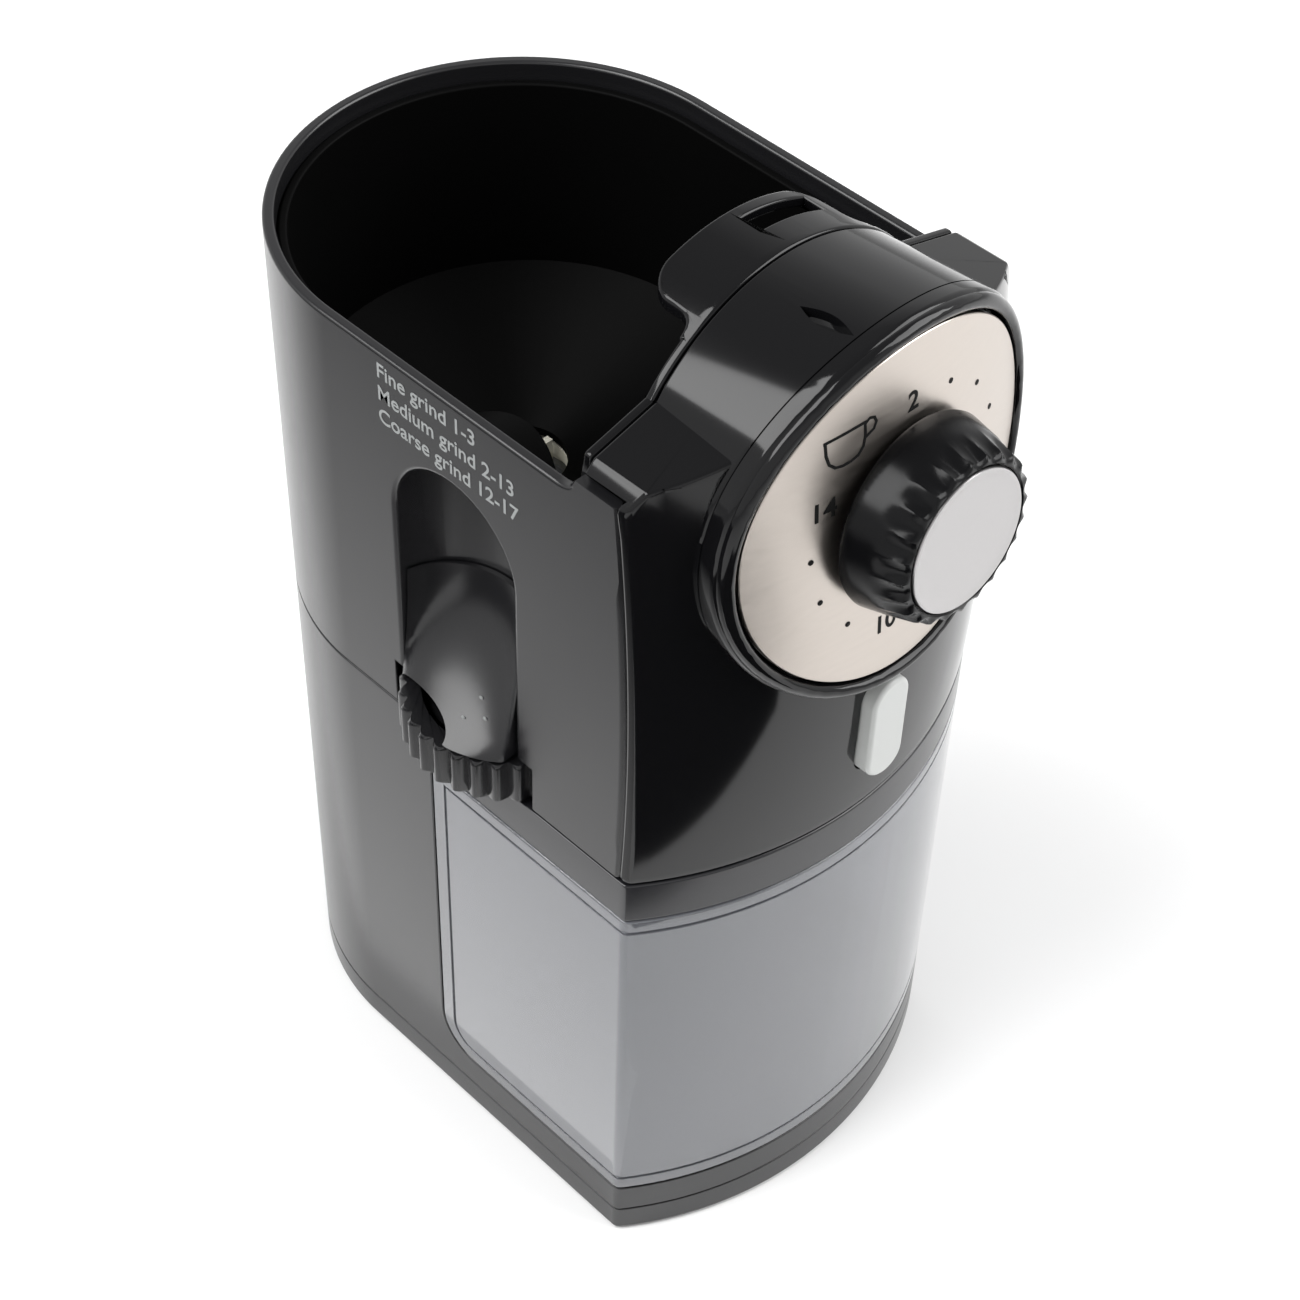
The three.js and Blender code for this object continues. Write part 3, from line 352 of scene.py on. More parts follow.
def moulded(name, color, rough, grain=0.0, grain_scale=2500.0, tint=0.12, specular=0.5, coat=0.0):
    """Moulded plastic: slightly uneven gloss and shade, with an optional fine grain."""
    material, tree, shader = node_material(name)
    broad = noise_on(tree, (1, 1, 1), 18.0, 4.0)
    tree.links.new(spread(tree, broad.outputs["Fac"], rough[0], rough[1]), shader.inputs["Roughness"])
    mix = add_node(tree, "ShaderNodeMix", data_type="RGBA")
    mix.inputs[6].default_value = (*[c * (1 - tint) for c in color], 1)
    mix.inputs[7].default_value = (*[c * (1 + tint) for c in color], 1)
    tree.links.new(broad.outputs["Fac"], mix.inputs[0])
    tree.links.new(mix.outputs[2], shader.inputs["Base Color"])
    shader.inputs["Specular IOR Level"].default_value = specular
    if coat:
        shader.inputs["Coat Weight"].default_value = coat
        shader.inputs["Coat Roughness"].default_value = 0.05
    if grain:
        fine = noise_on(tree, (1, 1, 1), grain_scale, 2.0)
        bump = add_node(tree, "ShaderNodeBump", Strength=grain, Distance=0.00003)
        tree.links.new(fine.outputs["Fac"], bump.inputs["Height"])
        tree.links.new(bump.outputs["Normal"], shader.inputs["Normal"])
    return material


def metal(name, color, rough, stretch, scale, bump_strength=0.15, tint=0.06):
    """Metal whose roughness and shade follow a brushed or turned grain."""
    material, tree, shader = node_material(name)
    shader.inputs["Metallic"].default_value = 1.0
    grain = noise_on(tree, stretch, scale, 5.0)
    tree.links.new(spread(tree, grain.outputs["Fac"], rough[0], rough[1]), shader.inputs["Roughness"])
    mix = add_node(tree, "ShaderNodeMix", data_type="RGBA")
    mix.inputs[6].default_value = (*[c * (1 - tint) for c in color], 1)
    mix.inputs[7].default_value = (*[c * (1 + tint) for c in color], 1)
    tree.links.new(grain.outputs["Fac"], mix.inputs[0])
    tree.links.new(mix.outputs[2], shader.inputs["Base Color"])
    bump = add_node(tree, "ShaderNodeBump", Strength=bump_strength, Distance=0.00003)
    tree.links.new(grain.outputs["Fac"], bump.inputs["Height"])
    tree.links.new(bump.outputs["Normal"], shader.inputs["Normal"])
    return material


def smoky_clear(name):
    """Clear plastic with a slight haze that scatters a cool grey."""
    material, tree, shader = node_material(name)
    haze = noise_on(tree, (1, 1, 1), 25.0, 4.0)
    tree.links.new(spread(tree, haze.outputs["Fac"], 0.03, 0.12), shader.inputs["Roughness"])
    shader.inputs["Base Color"].default_value = (0.31, 0.32, 0.35, 1)
    shader.inputs["Transmission Weight"].default_value = 0.72
    shader.inputs["IOR"].default_value = 1.46
    shader.inputs["Coat Weight"].default_value = 0.6
    shader.inputs["Coat Roughness"].default_value = 0.04
    return material


SATIN = moulded("satin_black_plastic", (0.010, 0.010, 0.011), (0.2, 0.28), grain=0.15)
COLLAR = moulded("collar_black_plastic", (0.012, 0.012, 0.014), (0.12, 0.2))
GLOSS = moulded("gloss_black_plastic", (0.004, 0.004, 0.0045), (0.05, 0.11), specular=0.3, coat=0.05)
# The hopper's black plastic is darker and duller than the housing's: painted shade of its deep well, and a
# stand-in for the dark beans in its cone.
HOPPER_BLACK_AND_PAINTED_SHADE = moulded("hopper_black_plastic_and_painted_shade", (0.002, 0.002, 0.002), (0.45, 0.55), specular=0.045)
KNOB = moulded("knob_black_plastic", (0.003, 0.003, 0.0035), (0.16, 0.24), specular=0.2)
PALE = moulded("button_grey_plastic", (0.46, 0.47, 0.46), (0.3, 0.4), grain=0.15, tint=0.03)
RUBBER = moulded("rubber", (0.012, 0.012, 0.012), (0.75, 0.9), grain=0.6, grain_scale=1500)
NYLON = moulded("gear_nylon", (0.72, 0.70, 0.60), (0.4, 0.5), tint=0.05)
SWITCH = moulded("switch_plastic", (0.015, 0.015, 0.016), (0.4, 0.5), grain=0.3)
BOARD = moulded("circuit_board", (0.012, 0.10, 0.04), (0.3, 0.5), tint=0.3)
PRINT = moulded("print_dark", (0.004, 0.004, 0.004), (0.6, 0.7), specular=0.15)
PRINT_PALE = moulded("print_pale", (0.24, 0.25, 0.25), (0.5, 0.6), tint=0.05)
CLEAR = smoky_clear("smoky_clear_plastic")
BRUSHED = metal("brushed_steel", (0.51, 0.465, 0.425), (0.24, 0.42), (6, 900, 900), 1.0, 0.25)
SATIN_METAL = metal("satin_silver", (0.43, 0.42, 0.42), (0.26, 0.34), (60, 60, 60), 30.0, 0.05, 0.03)
TURNED = metal("turned_steel", (0.45, 0.46, 0.47), (0.25, 0.4), (200, 200, 3000), 1.0)
ZINC = metal("zinc_plate", (0.38, 0.40, 0.42), (0.35, 0.6), (120, 120, 120), 1.0, 0.1, 0.2)
BRASS = metal("brass_turned", (0.62, 0.42, 0.16), (0.25, 0.4), (200, 200, 3000), 1.0)

BY_SLOT = {
    "satin_black": SATIN,
    "gloss_black": GLOSS,
    "hopper_black": HOPPER_BLACK_AND_PAINTED_SHADE,
    "brushed_steel": BRUSHED,
    "satin_silver": SATIN_METAL,
    "button_grey": PALE,
    "clear_plastic": CLEAR,
    "rubber": RUBBER,
    "gear_nylon": NYLON,
    "machined_steel": TURNED,
    "motor_steel": ZINC,
    "brass": BRASS,
    "board_green": BOARD,
    "switch_black": SWITCH,
}


def finish_cad_nodes():
    """Every CAD node gets its slot's material and lightly rounded edges."""
    for row in frame["record"]["subparts"]:
        node = frame["nodes"][row["node"]]
        node.data.materials.clear()
        node.data.materials.append(BY_SLOT[row["material_slot"]])
        step = node.modifiers.new("round", "BEVEL")
        step.width = 0.15 * MM
        step.segments = 1
        step.angle_limit = math.radians(40)


finish_cad_nodes()


# ---- Base: floor plate, feet and screws --------------------------------------------------------
FEET = [(x, y) for y in (-66, 20) for x in (-34, 34)]
SCREWS = [(-22, -80), (22, -80), (-31, 31), (31, 31)]


def build_base():
    plate = prism("floor_plate_shell", body_plan(), *FLOOR_PLATE_Z)
    cut(plate, prism("t", body_plan(WALL), 5, 9))
    for spot in FEET:
        cut(plate, prism("t", circle(spot, 6.3, 40), -1, 2.3))
    for spot in SCREWS:
        cut(plate, prism("t", circle(spot, 4, 32), -1, 3.4))
        cut(plate, prism("t", circle(spot, 1.7, 20), -1, 9))
    corner = (1.2, lambda m, e: abs(abs(m.x) - HALF_WIDTH) < 0.05 and abs(m.y - CORNER_Y) < 0.05)
    bottom = (0.7, lambda m, e: abs(m.z - FLOOR_PLATE_Z[0]) < 0.01 and convex(e) and on_wall(m))
    top = (0.3, lambda m, e: abs(m.z - FLOOR_PLATE_Z[1]) < 0.01 and convex(e))
    soften(plate, corner, bottom, top)
    settle(plate, "housing", SATIN, ["floor_plate"])
    for i, spot in enumerate(FEET):
        profile = [(0, 2), (5.9, 2), (6, 1.6), (6, 0.6), (5.6, 0.15), (5, 0), (3.4, 0), (3, 0.3), (0, 0.3)]
        foot = smooth(turned(f"foot_pad_{i + 1}", profile, spot, 48))
        settle(foot, "housing", RUBBER, [f"foot_{i + 1}"])
    for i, spot in enumerate(SCREWS):
        head = [(0, 1.4), (1.6, 1.45), (2.6, 1.8), (3, 2.4), (3, 3.1), (1.4, 3.1), (1.4, 12), (0, 13)]
        screw = turned(f"screw_{i + 1}", head, spot, 32)
        for wide, deep in ((1.9, 0.28), (0.28, 1.9)):
            x, y = spot
            cut(screw, block("t", (x - wide, x + wide), (y - deep, y + deep), (1, 2.5)))
        settle(smooth(screw), "housing", TURNED, [f"base_screw_{i + 1}"])


def on_wall(middle):
    """True for a point on the body's outer wall."""
    if middle.y > 0:
        return abs(math.hypot(middle.x, middle.y) - HALF_WIDTH) < 0.1
    if abs(abs(middle.x) - HALF_WIDTH) < 0.05:
        return True
    return middle.y < -70 and abs(math.hypot(middle.x, middle.y - FRONT_CENTRE_Y) - FRONT_RADIUS) < 0.1


def at_corner(middle):
    """True for a point on one of the two upright front corners."""
    return abs(abs(middle.x) - HALF_WIDTH) < 0.05 and abs(middle.y - CORNER_Y) < 0.05


# ---- Lower housing -----------------------------------------------------------------------------
def bay_outline(back_y, floor_z, radius, front=-130, top=140):
    """The container's bay from the side, its lower rear corner rounded."""
    corner = arc((back_y - radius, floor_z + radius), radius, -math.pi / 2, 0, 16)
    return [(front, floor_z)] + corner + [(back_y, top), (front, top)]


def build_lower_housing():
    shell = prism("lower_housing_shell", body_plan(), *HOUSING_Z)
    cut(shell, along_x("t", bay_outline(BAY_Y, SOLE_TOP, CORNER_ROUND), -60, 60))
    room = prism("t", body_plan(WALL), 0, 130)
    keep(room, block("t", (-60, 60), (BAY_Y + WALL, 60), (-5, 140)))
    cut(shell, room)
    inlet = turned("t", [(0, -6), (5, -6), (5, 6), (0, 6)], (0, 0), 32, gland_point)
    cut(shell, inlet)
    corner = (1.2, lambda m, e: at_corner(m))
    rim = (0.35, lambda m, e: convex(e) and abs(m.z - HOUSING_Z[1]) < 0.01)
    foot = (0.3, lambda m, e: convex(e) and abs(m.z - HOUSING_Z[0]) < 0.01)
    bay = (0.35, lambda m, e: convex(e) and on_wall(m))
    soften(shell, corner, rim, foot, bay)
    settle(shell, "housing", SATIN, ["lower_housing"])
    profile = [(2.2, -4), (4.7, -4), (4.7, 0.3), (6.2, 0.3), (6.5, 0.7), (6.4, 1.4), (5.8, 2), (5.4, 4)]
    profile += [(5.0, 4.6), (3.4, 4.8), (2.6, 4.4), (2.2, 3), (2.2, -4)]
    gland = turned("cord_gland_sleeve", profile, (0, 0), 48, gland_point)
    settle(smooth(gland), "housing", RUBBER, ["cord_gland"])


def gland_point(point):
    """From the gland's own frame, whose z axis points out of the back."""
    x, y, z = point
    return (x, HALF_WIDTH + z, 24 - y)


# ---- Container and its lid ---------------------------------------------------------------------
TUB_WALL = 2.0
INLET_X, INLET_Y = (-9, 9), (-50, -31)


def container_block(name, inset, z0, z1, corner):
    made = prism(name, body_plan(inset), z0, z1)
    back = BAY_Y - GAP - inset
    outline = bay_outline(back, z0, corner, top=z1 + 5)
    return keep(made, along_x("t", outline, -60, 60))


def build_container():
    corner_r = CORNER_ROUND - GAP
    tub = container_block("container_tub", 0, *CONTAINER_Z, corner_r)
    floor_z = CONTAINER_Z[0] + TUB_WALL
    cut(tub, container_block("t", TUB_WALL, floor_z, CONTAINER_Z[1] + 4, corner_r - TUB_WALL))
    # A moulded line runs round the wall under the rim and above the floor, and up the rear of each flank
    back, low, high, broad = BAY_Y - GAP - 3.4, 19.6, 103.8, 0.7
    line = along_x("t", bay_outline(back, low, 6.3, top=high), -60, 60)
    cut(line, along_x("t2", bay_outline(back - broad, low + broad, 5.6, -131, high - broad), -61, 61))
    skin = prism("t3", body_plan(-1), 10, 112)
    cut(skin, prism("t4", body_plan(0.5), 9, 113))
    keep(line, skin)
    cut(tub, line)
    corner = (1.4, lambda m, e: at_corner(m))
    inner_corner = (1.0, lambda m, e: at_inner_corner(m) and not convex(e) and e_upright(e))
    lips = (0.15, lambda m, e: convex(e) and on_wall(m) and low - 0.5 < m.z < high + 0.5 and m.y < back + 0.2)
    edges = (0.5, lambda m, e: convex(e) and (abs(m.z - CONTAINER_Z[1]) < 0.01 or on_wall(m)))
    soften(tub, corner, inner_corner, lips, edges)
    settle(tub, "ground_container", CLEAR, ["container"])

    lid = container_block("container_collar", 0, *LID_Z, 0.5)
    cut(lid, container_block("t", WALL, LID_Z[0] + WALL, LID_Z[1] + 4, 0.5))
    lip = container_block("t", 2.3, 104.2, 108, 0.5)
    cut(lip, container_block("t2", 4.2, 100, 107.7, 0.5))
    join(lid, lip)
    cut(lid, block("t", INLET_X, INLET_Y, (90, 130)))
    corner = (1.4, lambda m, e: at_corner(m))
    edges = (0.6, lambda m, e: convex(e) and on_wall(m))
    inlet = (0.4, lambda m, e: convex(e) and abs(m.x) < 9.1 and -50.1 < m.y < -30.9)
    soften(lid, corner, edges, inlet)
    settle(lid, "ground_container", COLLAR, ["container_lid"])


def at_inner_corner(middle):
    """True for a point on one of the container's two upright inner front corners."""
    return abs(abs(middle.x) - (HALF_WIDTH - TUB_WALL)) < 0.1 and middle.y < -75


def e_upright(edge):
    """True for an edge that runs straight up."""
    d = edge.verts[0].co - edge.verts[1].co
    return abs(d.z) > 0.99 * d.length


# ---- Upper housing -----------------------------------------------------------------------------
def lean_block(name, offset, y_back=70):
    """Everything behind the leaning front face moved back by an offset."""
    reach = 60
    spread_angle = math.asin(reach / FRONT_RADIUS)
    side = -math.pi / 2
    rings = []
    for k in range(29):
        z = 110 + k * 5
        centre = (0, FRONT_CENTRE_Y + offset + lean(z))
        front = arc(centre, FRONT_RADIUS, side - spread_angle, side + spread_angle, 48)
        rings.append([(x, y, z) for x, y in [(reach, y_back), (-reach, y_back)] + front])
    return loft(name, rings)


def recess(name, grow, bottom):
    """The thumb recess: an arch in side view, a half ellipse in plan, grown on every side."""
    front, rear = RECESS_Y[0] - grow, RECESS_Y[1] + grow
    middle, radius = (front + rear) / 2, (rear - front) / 2
    springing = RECESS_TOP + grow - radius
    arch = [(front, bottom), (rear, bottom)] + arc((middle, springing), radius, 0, math.pi, 40)
    shape = along_x(name, arch, -HALF_WIDTH - 16, -20)
    depth = RECESS_DEPTH + grow
    steps = 40
    ellipse = []
    for i in range(steps + 1):
        a = -math.pi / 2 + math.pi * i / steps
        ellipse.append((-HALF_WIDTH + depth * math.cos(a), middle + radius * math.sin(a)))
    plan = [(-HALF_WIDTH - 15, front)] + ellipse + [(-HALF_WIDTH - 15, rear)]
    return keep(shape, prism("t", plan, bottom - 1, RECESS_TOP + grow + 1))


def flank_outline():
    """The side walls: level along the hopper, rising in a small curve to the front panel's ears."""
    curve = []
    for i in range(13):
        s = i / 12
        y = (1 - s) ** 2 * -60.5 + 2 * s * (1 - s) * -64.8 + s * s * -65.6
        z = (1 - s) ** 2 * UPPER_Z[1] + 2 * s * (1 - s) * UPPER_Z[1] + s * s * SHOULDER_Z
        curve.append((y, z))
    return [(-110, UPPER_Z[0]), (60, UPPER_Z[0]), (60, UPPER_Z[1])] + curve + [(-110, SHOULDER_Z)]


def on_left(middle):
    """True for a point on the left flank."""
    return abs(middle.x + HALF_WIDTH) < 0.05


def build_upper_housing():
    shell = prism("upper_housing_shell", body_plan(), UPPER_Z[0], SHOULDER_Z)
    keep(shell, along_x("t", flank_outline(), -60, 60))
    keep(shell, lean_block("t", WALL + GAP))
    wall = WALL + 0.2
    cut(shell, prism("t", body_plan(wall), DECK_TOP, 220))
    cut(shell, block("t", (-HALF_WIDTH + wall, HALF_WIDTH - wall), (-110, -60), (DECK_TOP, 220)))
    over_motor = prism("t", body_plan(wall), 100, DECK_TOP + 1)
    keep(over_motor, block("t", (-60, 60), (BAY_Y, 60), (90, 130)))
    cut(shell, over_motor)
    cut(shell, prism("t", circle(WHEEL_AXIS, 23.2, 64), 110, WINDOW_TOP))
    cut(shell, block("t", (-10.4, 10.4), (-50.4, BAY_Y + 1), (110, DECK_TOP + 1)))
    liner = recess("t", 1.8, WINDOW_TOP + 1)
    keep(liner, prism("t", body_plan(0.2), *UPPER_Z))
    join(shell, liner)
    cut(shell, recess("t", 0, WINDOW_TOP))
    cut(shell, block("t", (-HALF_WIDTH - 2, -HALF_WIDTH + 4), WINDOW_Y, (110, WINDOW_TOP)))
    rim = (0.7, lambda m, e: convex(e, 50) and m.z > UPPER_Z[1] - 0.05 and m.y > -65)
    recess_edge = (1.1, lambda m, e: convex(e, 25) and on_left(m) and WINDOW_TOP + 0.5 < m.z < 190)
    window = (0.5, lambda m, e: convex(e) and on_left(m) and m.z < WINDOW_TOP + 0.1)
    foot = (0.35, lambda m, e: convex(e) and abs(m.z - UPPER_Z[0]) < 0.01)
    soften(shell, rim, recess_edge, window, foot)
    settle(shell, "housing", SATIN, ["upper_housing"])


# ---- Hopper and hood ---------------------------------------------------------------------------
def funnel(name, bottom_r, z, slope=0.54, reach=85):
    profile = [(0, z), (bottom_r, z), (reach, z + (reach - bottom_r) * slope), (reach, 260), (0, 260)]
    return turned(name, profile, BURR_AXIS, 96)


def hopper_block(name, inset, front_y, z0, z1):
    made = prism(name, body_plan(inset), z0, z1)
    return keep(made, block("t", (-60, 60), (front_y, 60), (0, 260)))


def build_hopper():
    bottom, top, front_y, wall = 140.5, 203.6, -63.9, 1.8
    tub = hopper_block("hopper_tub", WALL + 0.5, front_y, bottom, top)
    keep(tub, funnel("t", 11.8, bottom))
    cut(tub, recess("t", 2.1, WINDOW_TOP))
    room = hopper_block("room", WALL + 0.5 + wall, front_y + wall, bottom - 1, top + 2)
    keep(room, funnel("t", 10, bottom + wall))
    cut(room, recess("t", 2.1 + wall, WINDOW_TOP))
    cut(tub, room)
    cut(tub, prism("t", circle(BURR_AXIS, 10, 64), bottom - 2, bottom + 6))
    soften(tub, (0.5, lambda m, e: convex(e, 50) and m.z > top - 0.05))
    # Its darker plastic carries painted shade of the deep well.
    settle(tub, "housing", HOPPER_BLACK_AND_PAINTED_SHADE, ["hopper"])


def build_hood():
    centre_z = DIAL_Z - (PANEL_REAR_Y - DIAL_Y) * math.tan(DIAL_TILT) + 0.3
    wall_y = (PANEL_REAR_Y + GAP, -63.9 - GAP)
    half, rear, corner, flare = 19.8, -51.7, 6.0, 3.5

    def rim(radius):
        return circle((0, centre_z), radius, 160)

    hood = along_y("hopper_hood_shell", panel_outline(0.2, 45.8, 140.5), *wall_y)
    join(hood, along_y("t", rim(RIM_R), *wall_y))
    tab = [(half + flare, wall_y[1] - 1), (half + flare, wall_y[1] + 0.5)]
    for i in range(1, 9):
        s = i / 8
        tab.append((half + flare - flare * s * (2 - s), wall_y[1] + 0.5 + flare * s * s))
    tab += arc((half - corner, rear - corner), corner, 0, math.pi / 2, 12)
    tab += [(-x, y) for x, y in reversed(tab)]
    sleeve = along_y("t", rim(RIM_R), wall_y[0], rear)
    cut(sleeve, along_y("t2", rim(RIM_R - WALL), -110, 0))
    keep(sleeve, prism("t", tab, centre_z + 15, 260))
    join(hood, sleeve)
    cut(hood, block("t", HOOD_SLOT[0], HOOD_SLOT[1], (centre_z + 20, 260)))
    soften(hood, (0.6, lambda m, e: convex(e, 50) and m.z > 200))
    settle(hood, "housing", GLOSS, ["hopper_hood"])


# ---- Front panel -------------------------------------------------------------------------------
def dial_point(point):
    """From the dial's own frame: x to the right, y up the plate, z out of it."""
    u, v, n = point
    sine, cosine = math.sin(DIAL_TILT), math.cos(DIAL_TILT)
    return (u, DIAL_Y + v * sine - n * cosine, DIAL_Z + v * cosine + n * sine)


def bend(u):
    """How far the plate's surface falls away from its middle."""
    return math.sqrt(DIAL_BEND**2 - u * u) - DIAL_BEND


def bent(point):
    u, v, n = point
    return dial_point((u, v, n + bend(u)))


def dial_rod(name, radius, n0, n1, sides=128):
    """A rod about the dial's axis whose front end follows the plate's curve."""
    flat = [(x, y, n0) for x, y in circle((0, 0), radius, sides)]
    front = [(x, y, n1) for x, y, _ in flat]
    rings = [[dial_point(p) for p in flat], [bent(p) for p in front]]
    for share in (0.75, 0.5, 0.25, 0.02):
        rings.append([bent((x * share, y * share, n1)) for x, y, _ in front])
    return loft(name, rings)


def stepped_rod(name, back, steps, sides=128):
    """A rod with steps of (radius, height) in its front, each following the plate's curve."""
    rings = [[dial_point((x, y, back)) for x, y in circle((0, 0), steps[0][0], sides)]]
    radius, height = steps[-1]
    for r, n in steps + [(radius * share, height) for share in (0.75, 0.5, 0.25, 0.02)]:
        rings.append([bent((x, y, n)) for x, y in circle((0, 0), r, sides)])
    return loft(name, rings)


def build_front_panel():
    outline = panel_outline()
    panel = lean_block("front_panel_shell", 0)
    keep(panel, block("t", (-HALF_WIDTH, HALF_WIDTH), (-130, PANEL_REAR_Y), (118.4, 250)))
    keep(panel, along_y("t", outline, -130, 0))
    inner = lean_block("inner", WALL)
    keep(inner, along_y("t", panel_outline(WALL, 60, 90), -130, 0))
    cut(panel, inner)
    boss = stepped_rod("boss", -60, [(RIM_R, -4.4), (PLATE_R, -4.4), (PLATE_R, -1.3)])
    keep(boss, block("t", (-60, 60), (-130, PANEL_REAR_Y), (118.4, 250)))
    cut(panel, dial_rod("t", RIM_R + 0.3, -4.4, 8))
    join(panel, boss)
    cut(panel, stepped_rod("t", -61, [(37, -6.4), (33.2, -6.4), (33.2, -3.3)]))
    cut(panel, dial_rod("t", 4.2, -20, 5, 32))
    cut(panel, along_y("t", pill(BUTTON_W + 0.8, BUTTON_H + 0.8, BUTTON_Z), -130, -80))
    # A leaf-shaped dimple in the top of the boss
    leaf_x, leaf_y, half_leaf, leaf_length = -9.2, -89.6, 1.5, 12
    leaf = []
    for side, steps in ((-1, range(17)), (1, range(15, 0, -1))):
        for i in steps:
            s = i / 16
            leaf.append((leaf_x + side * half_leaf * math.sin(math.pi * s), leaf_y + leaf_length * s))
    dimple = prism("t", leaf, 228, 260)
    cut(dimple, dial_rod("t2", RIM_R - 1.8, -60, 10))
    cut(panel, dimple)
    corner = (1.2, lambda m, e: convex(e) and abs(abs(m.x) - HALF_WIDTH) < 0.05 and m.y < -76 and m.z < 212)
    ears = (0.7, lambda m, e: convex(e, 12) and m.z > 205 and abs(m.x) > 30)
    rear = (0.4, lambda m, e: convex(e) and abs(m.y - PANEL_REAR_Y) < 0.01 and m.z > 210)
    foot = (0.5, lambda m, e: convex(e) and abs(m.z - 118.4) < 0.01)
    soften(panel, corner, ears, rear, foot)
    settle(panel, "housing", GLOSS, ["front_panel"])


# ---- Dial --------------------------------------------------------------------------------------
def build_dial():
    profile = [(36.0, -4.1), (36.0, -0.6), (36.15, 0.1), (36.6, 0.7), (37.2, 1.0), (37.8, 0.95)]
    profile += [(38.4, 0.6), (38.8, 0.05), (38.9, -0.5), (38.75, -0.8), (39.05, -1.1)]
    profile += [(39.3, -1.7), (39.3, -4.1), (36.0, -4.1)]
    bezel = turned("dial_bezel_ring", profile, (0, 0), 160, bent)
    settle(smooth(bezel, 50), "housing", GLOSS, ["dial_bezel"])

    profile = [(4.2, -1.0), (PLATE_R - 0.2, -1.0), (PLATE_R, -0.8), (PLATE_R, -0.15), (PLATE_R - 0.15, 0)]
    profile += [(PLATE_R - 5.5 * i, 0) for i in range(1, 6)]
    profile += [(4.2, 0), (4.2, -1.0)]
    plate = turned("dial_plate_disc", profile, (0, 0), 160, bent)
    settle(smooth(plate), "housing", BRUSHED, ["dial_plate"])


def knob_radius(n, angle, flutes=24):
    """The knob's side: a tapering barrel with shallow flutes that deepen towards its face."""
    barrel = [(0.4, 17.6), (0.9, 17.6), (1.0, 18.8), (1.7, 19.0)]
    barrel += [(7.0, 17.9), (12.2, 16.6), (13.0, 16.2), (13.4, 15.4)]
    radius = barrel[-1][1]
    for (n0, r0), (n1, r1) in zip(barrel, barrel[1:]):
        if n0 <= n <= n1:
            radius = r0 + (r1 - r0) * (n - n0) / (n1 - n0)
            break
    depth = max(0.0, min(1.0, (n - 7.5) / 4.5))
    return radius - 0.9 * depth * abs(math.sin(flutes * angle / 2))


def build_knob():
    sides = 24 * 14
    heights = [0.4, 0.9, 1.0, 1.7, 3.5, 5.0, 6.0, 7.0, 8.2, 9.5, 11, 12.2, 12.7, 13.0, 13.25, 13.4]
    rings = []
    for n in heights:
        ring = []
        for i in range(sides):
            a = 2 * math.pi * i / sides
            r = knob_radius(n, a)
            ring.append(dial_point((r * math.cos(a), r * math.sin(a), n)))
        rings.append(ring)
    for r, n in ((14.6, 13.4), (14.25, 13.1), (14.25, 11.8), (3.3, 11.8), (3.3, 0.4)):
        rings.append([dial_point((x, y, n)) for x, y in circle((0, 0), r, sides)])
    knob = loft("knob_grip", rings, closed=True)
    settle(smooth(knob, 40), "dial_knob", KNOB, ["knob"])

    profile = [(0, 12.3), (13.9, 12.3), (14.0, 12.6), (14.0, 13.2), (13.8, 13.55)]
    profile += [(13.4, 13.65), (13.0, 13.5)]
    profile += [(12 - 12 * i / 8, 13.3 - 0.55 * (1 - (1 - i / 8) ** 2)) for i in range(8)]
    profile += [(0, 12.75)]
    cap = turned("knob_cap_disc", profile, (0, 0), 96, dial_point)
    settle(smooth(cap, 40), "dial_knob", SATIN_METAL, ["knob_cap"])


# ---- Start button ------------------------------------------------------------------------------
def build_button():
    face_y = FRONT_CENTRE_Y - FRONT_RADIUS + lean(BUTTON_Z)
    back = face_y + WALL + 2.4
    key = along_y("start_key_cap", pill(BUTTON_W, BUTTON_H, BUTTON_Z), face_y - 3, back)
    join(key, along_y("t", pill(BUTTON_W + 3.2, BUTTON_H + 3.2, BUTTON_Z), back - 1.2, back))
    soften(key, (0.9, lambda m, e: convex(e) and m.y < face_y - 2.9), segments=4)
    settle(key, "start_key", PALE, ["start_button"])


# ---- Thumb wheel and scoop ---------------------------------------------------------------------
def build_wheel():
    teeth, per_tooth = 32, 12
    z0, z1 = WHEEL_Z
    towards_burr = math.atan2(BURR_AXIS[1] - WHEEL_AXIS[1], BURR_AXIS[0] - WHEEL_AXIS[0])

    def rib_ring(z, reach):
        ring = []
        for i in range(teeth * per_tooth):
            a = 2 * math.pi * i / (teeth * per_tooth) + towards_burr + math.pi / teeth
            wave = math.cos(a * teeth - (towards_burr + math.pi / teeth) * teeth)
            r = 20.3 + reach * (0.5 + 0.5 * wave) ** 0.6
            ring.append((WHEEL_AXIS[0] + r * math.cos(a), WHEEL_AXIS[1] + r * math.sin(a), z))
        return ring

    rings = [rib_ring(z, reach) for z, reach in ((z0, 1.1), (z0 + 0.7, 1.75), (z1 - 0.7, 1.75), (z1, 1.1))]
    for r, z in ((17.5, z1), (17.5, z1 - 2), (1.7, z1 - 2), (1.7, z0 + 0.5), (4.5, z0 + 0.5), (4.5, z1 - 4)):
        rings.append([(x, y, z) for x, y in circle(WHEEL_AXIS, r, teeth * per_tooth)])
    for r, z in ((17.5, z1 - 4), (17.5, z0)):
        rings.append([(x, y, z) for x, y in circle(WHEEL_AXIS, r, teeth * per_tooth)])
    wheel = loft("thumb_wheel_ribbed", rings, closed=True)
    settle(smooth(wheel, 45), "thumb_wheel", SATIN, ["grind_wheel"])


SCOOP_FOOT, SCOOP_HEIGHT, SCOOP_SHARE = 129.6, 34.0, 0.76
SCOOP_BULGE = 21.4


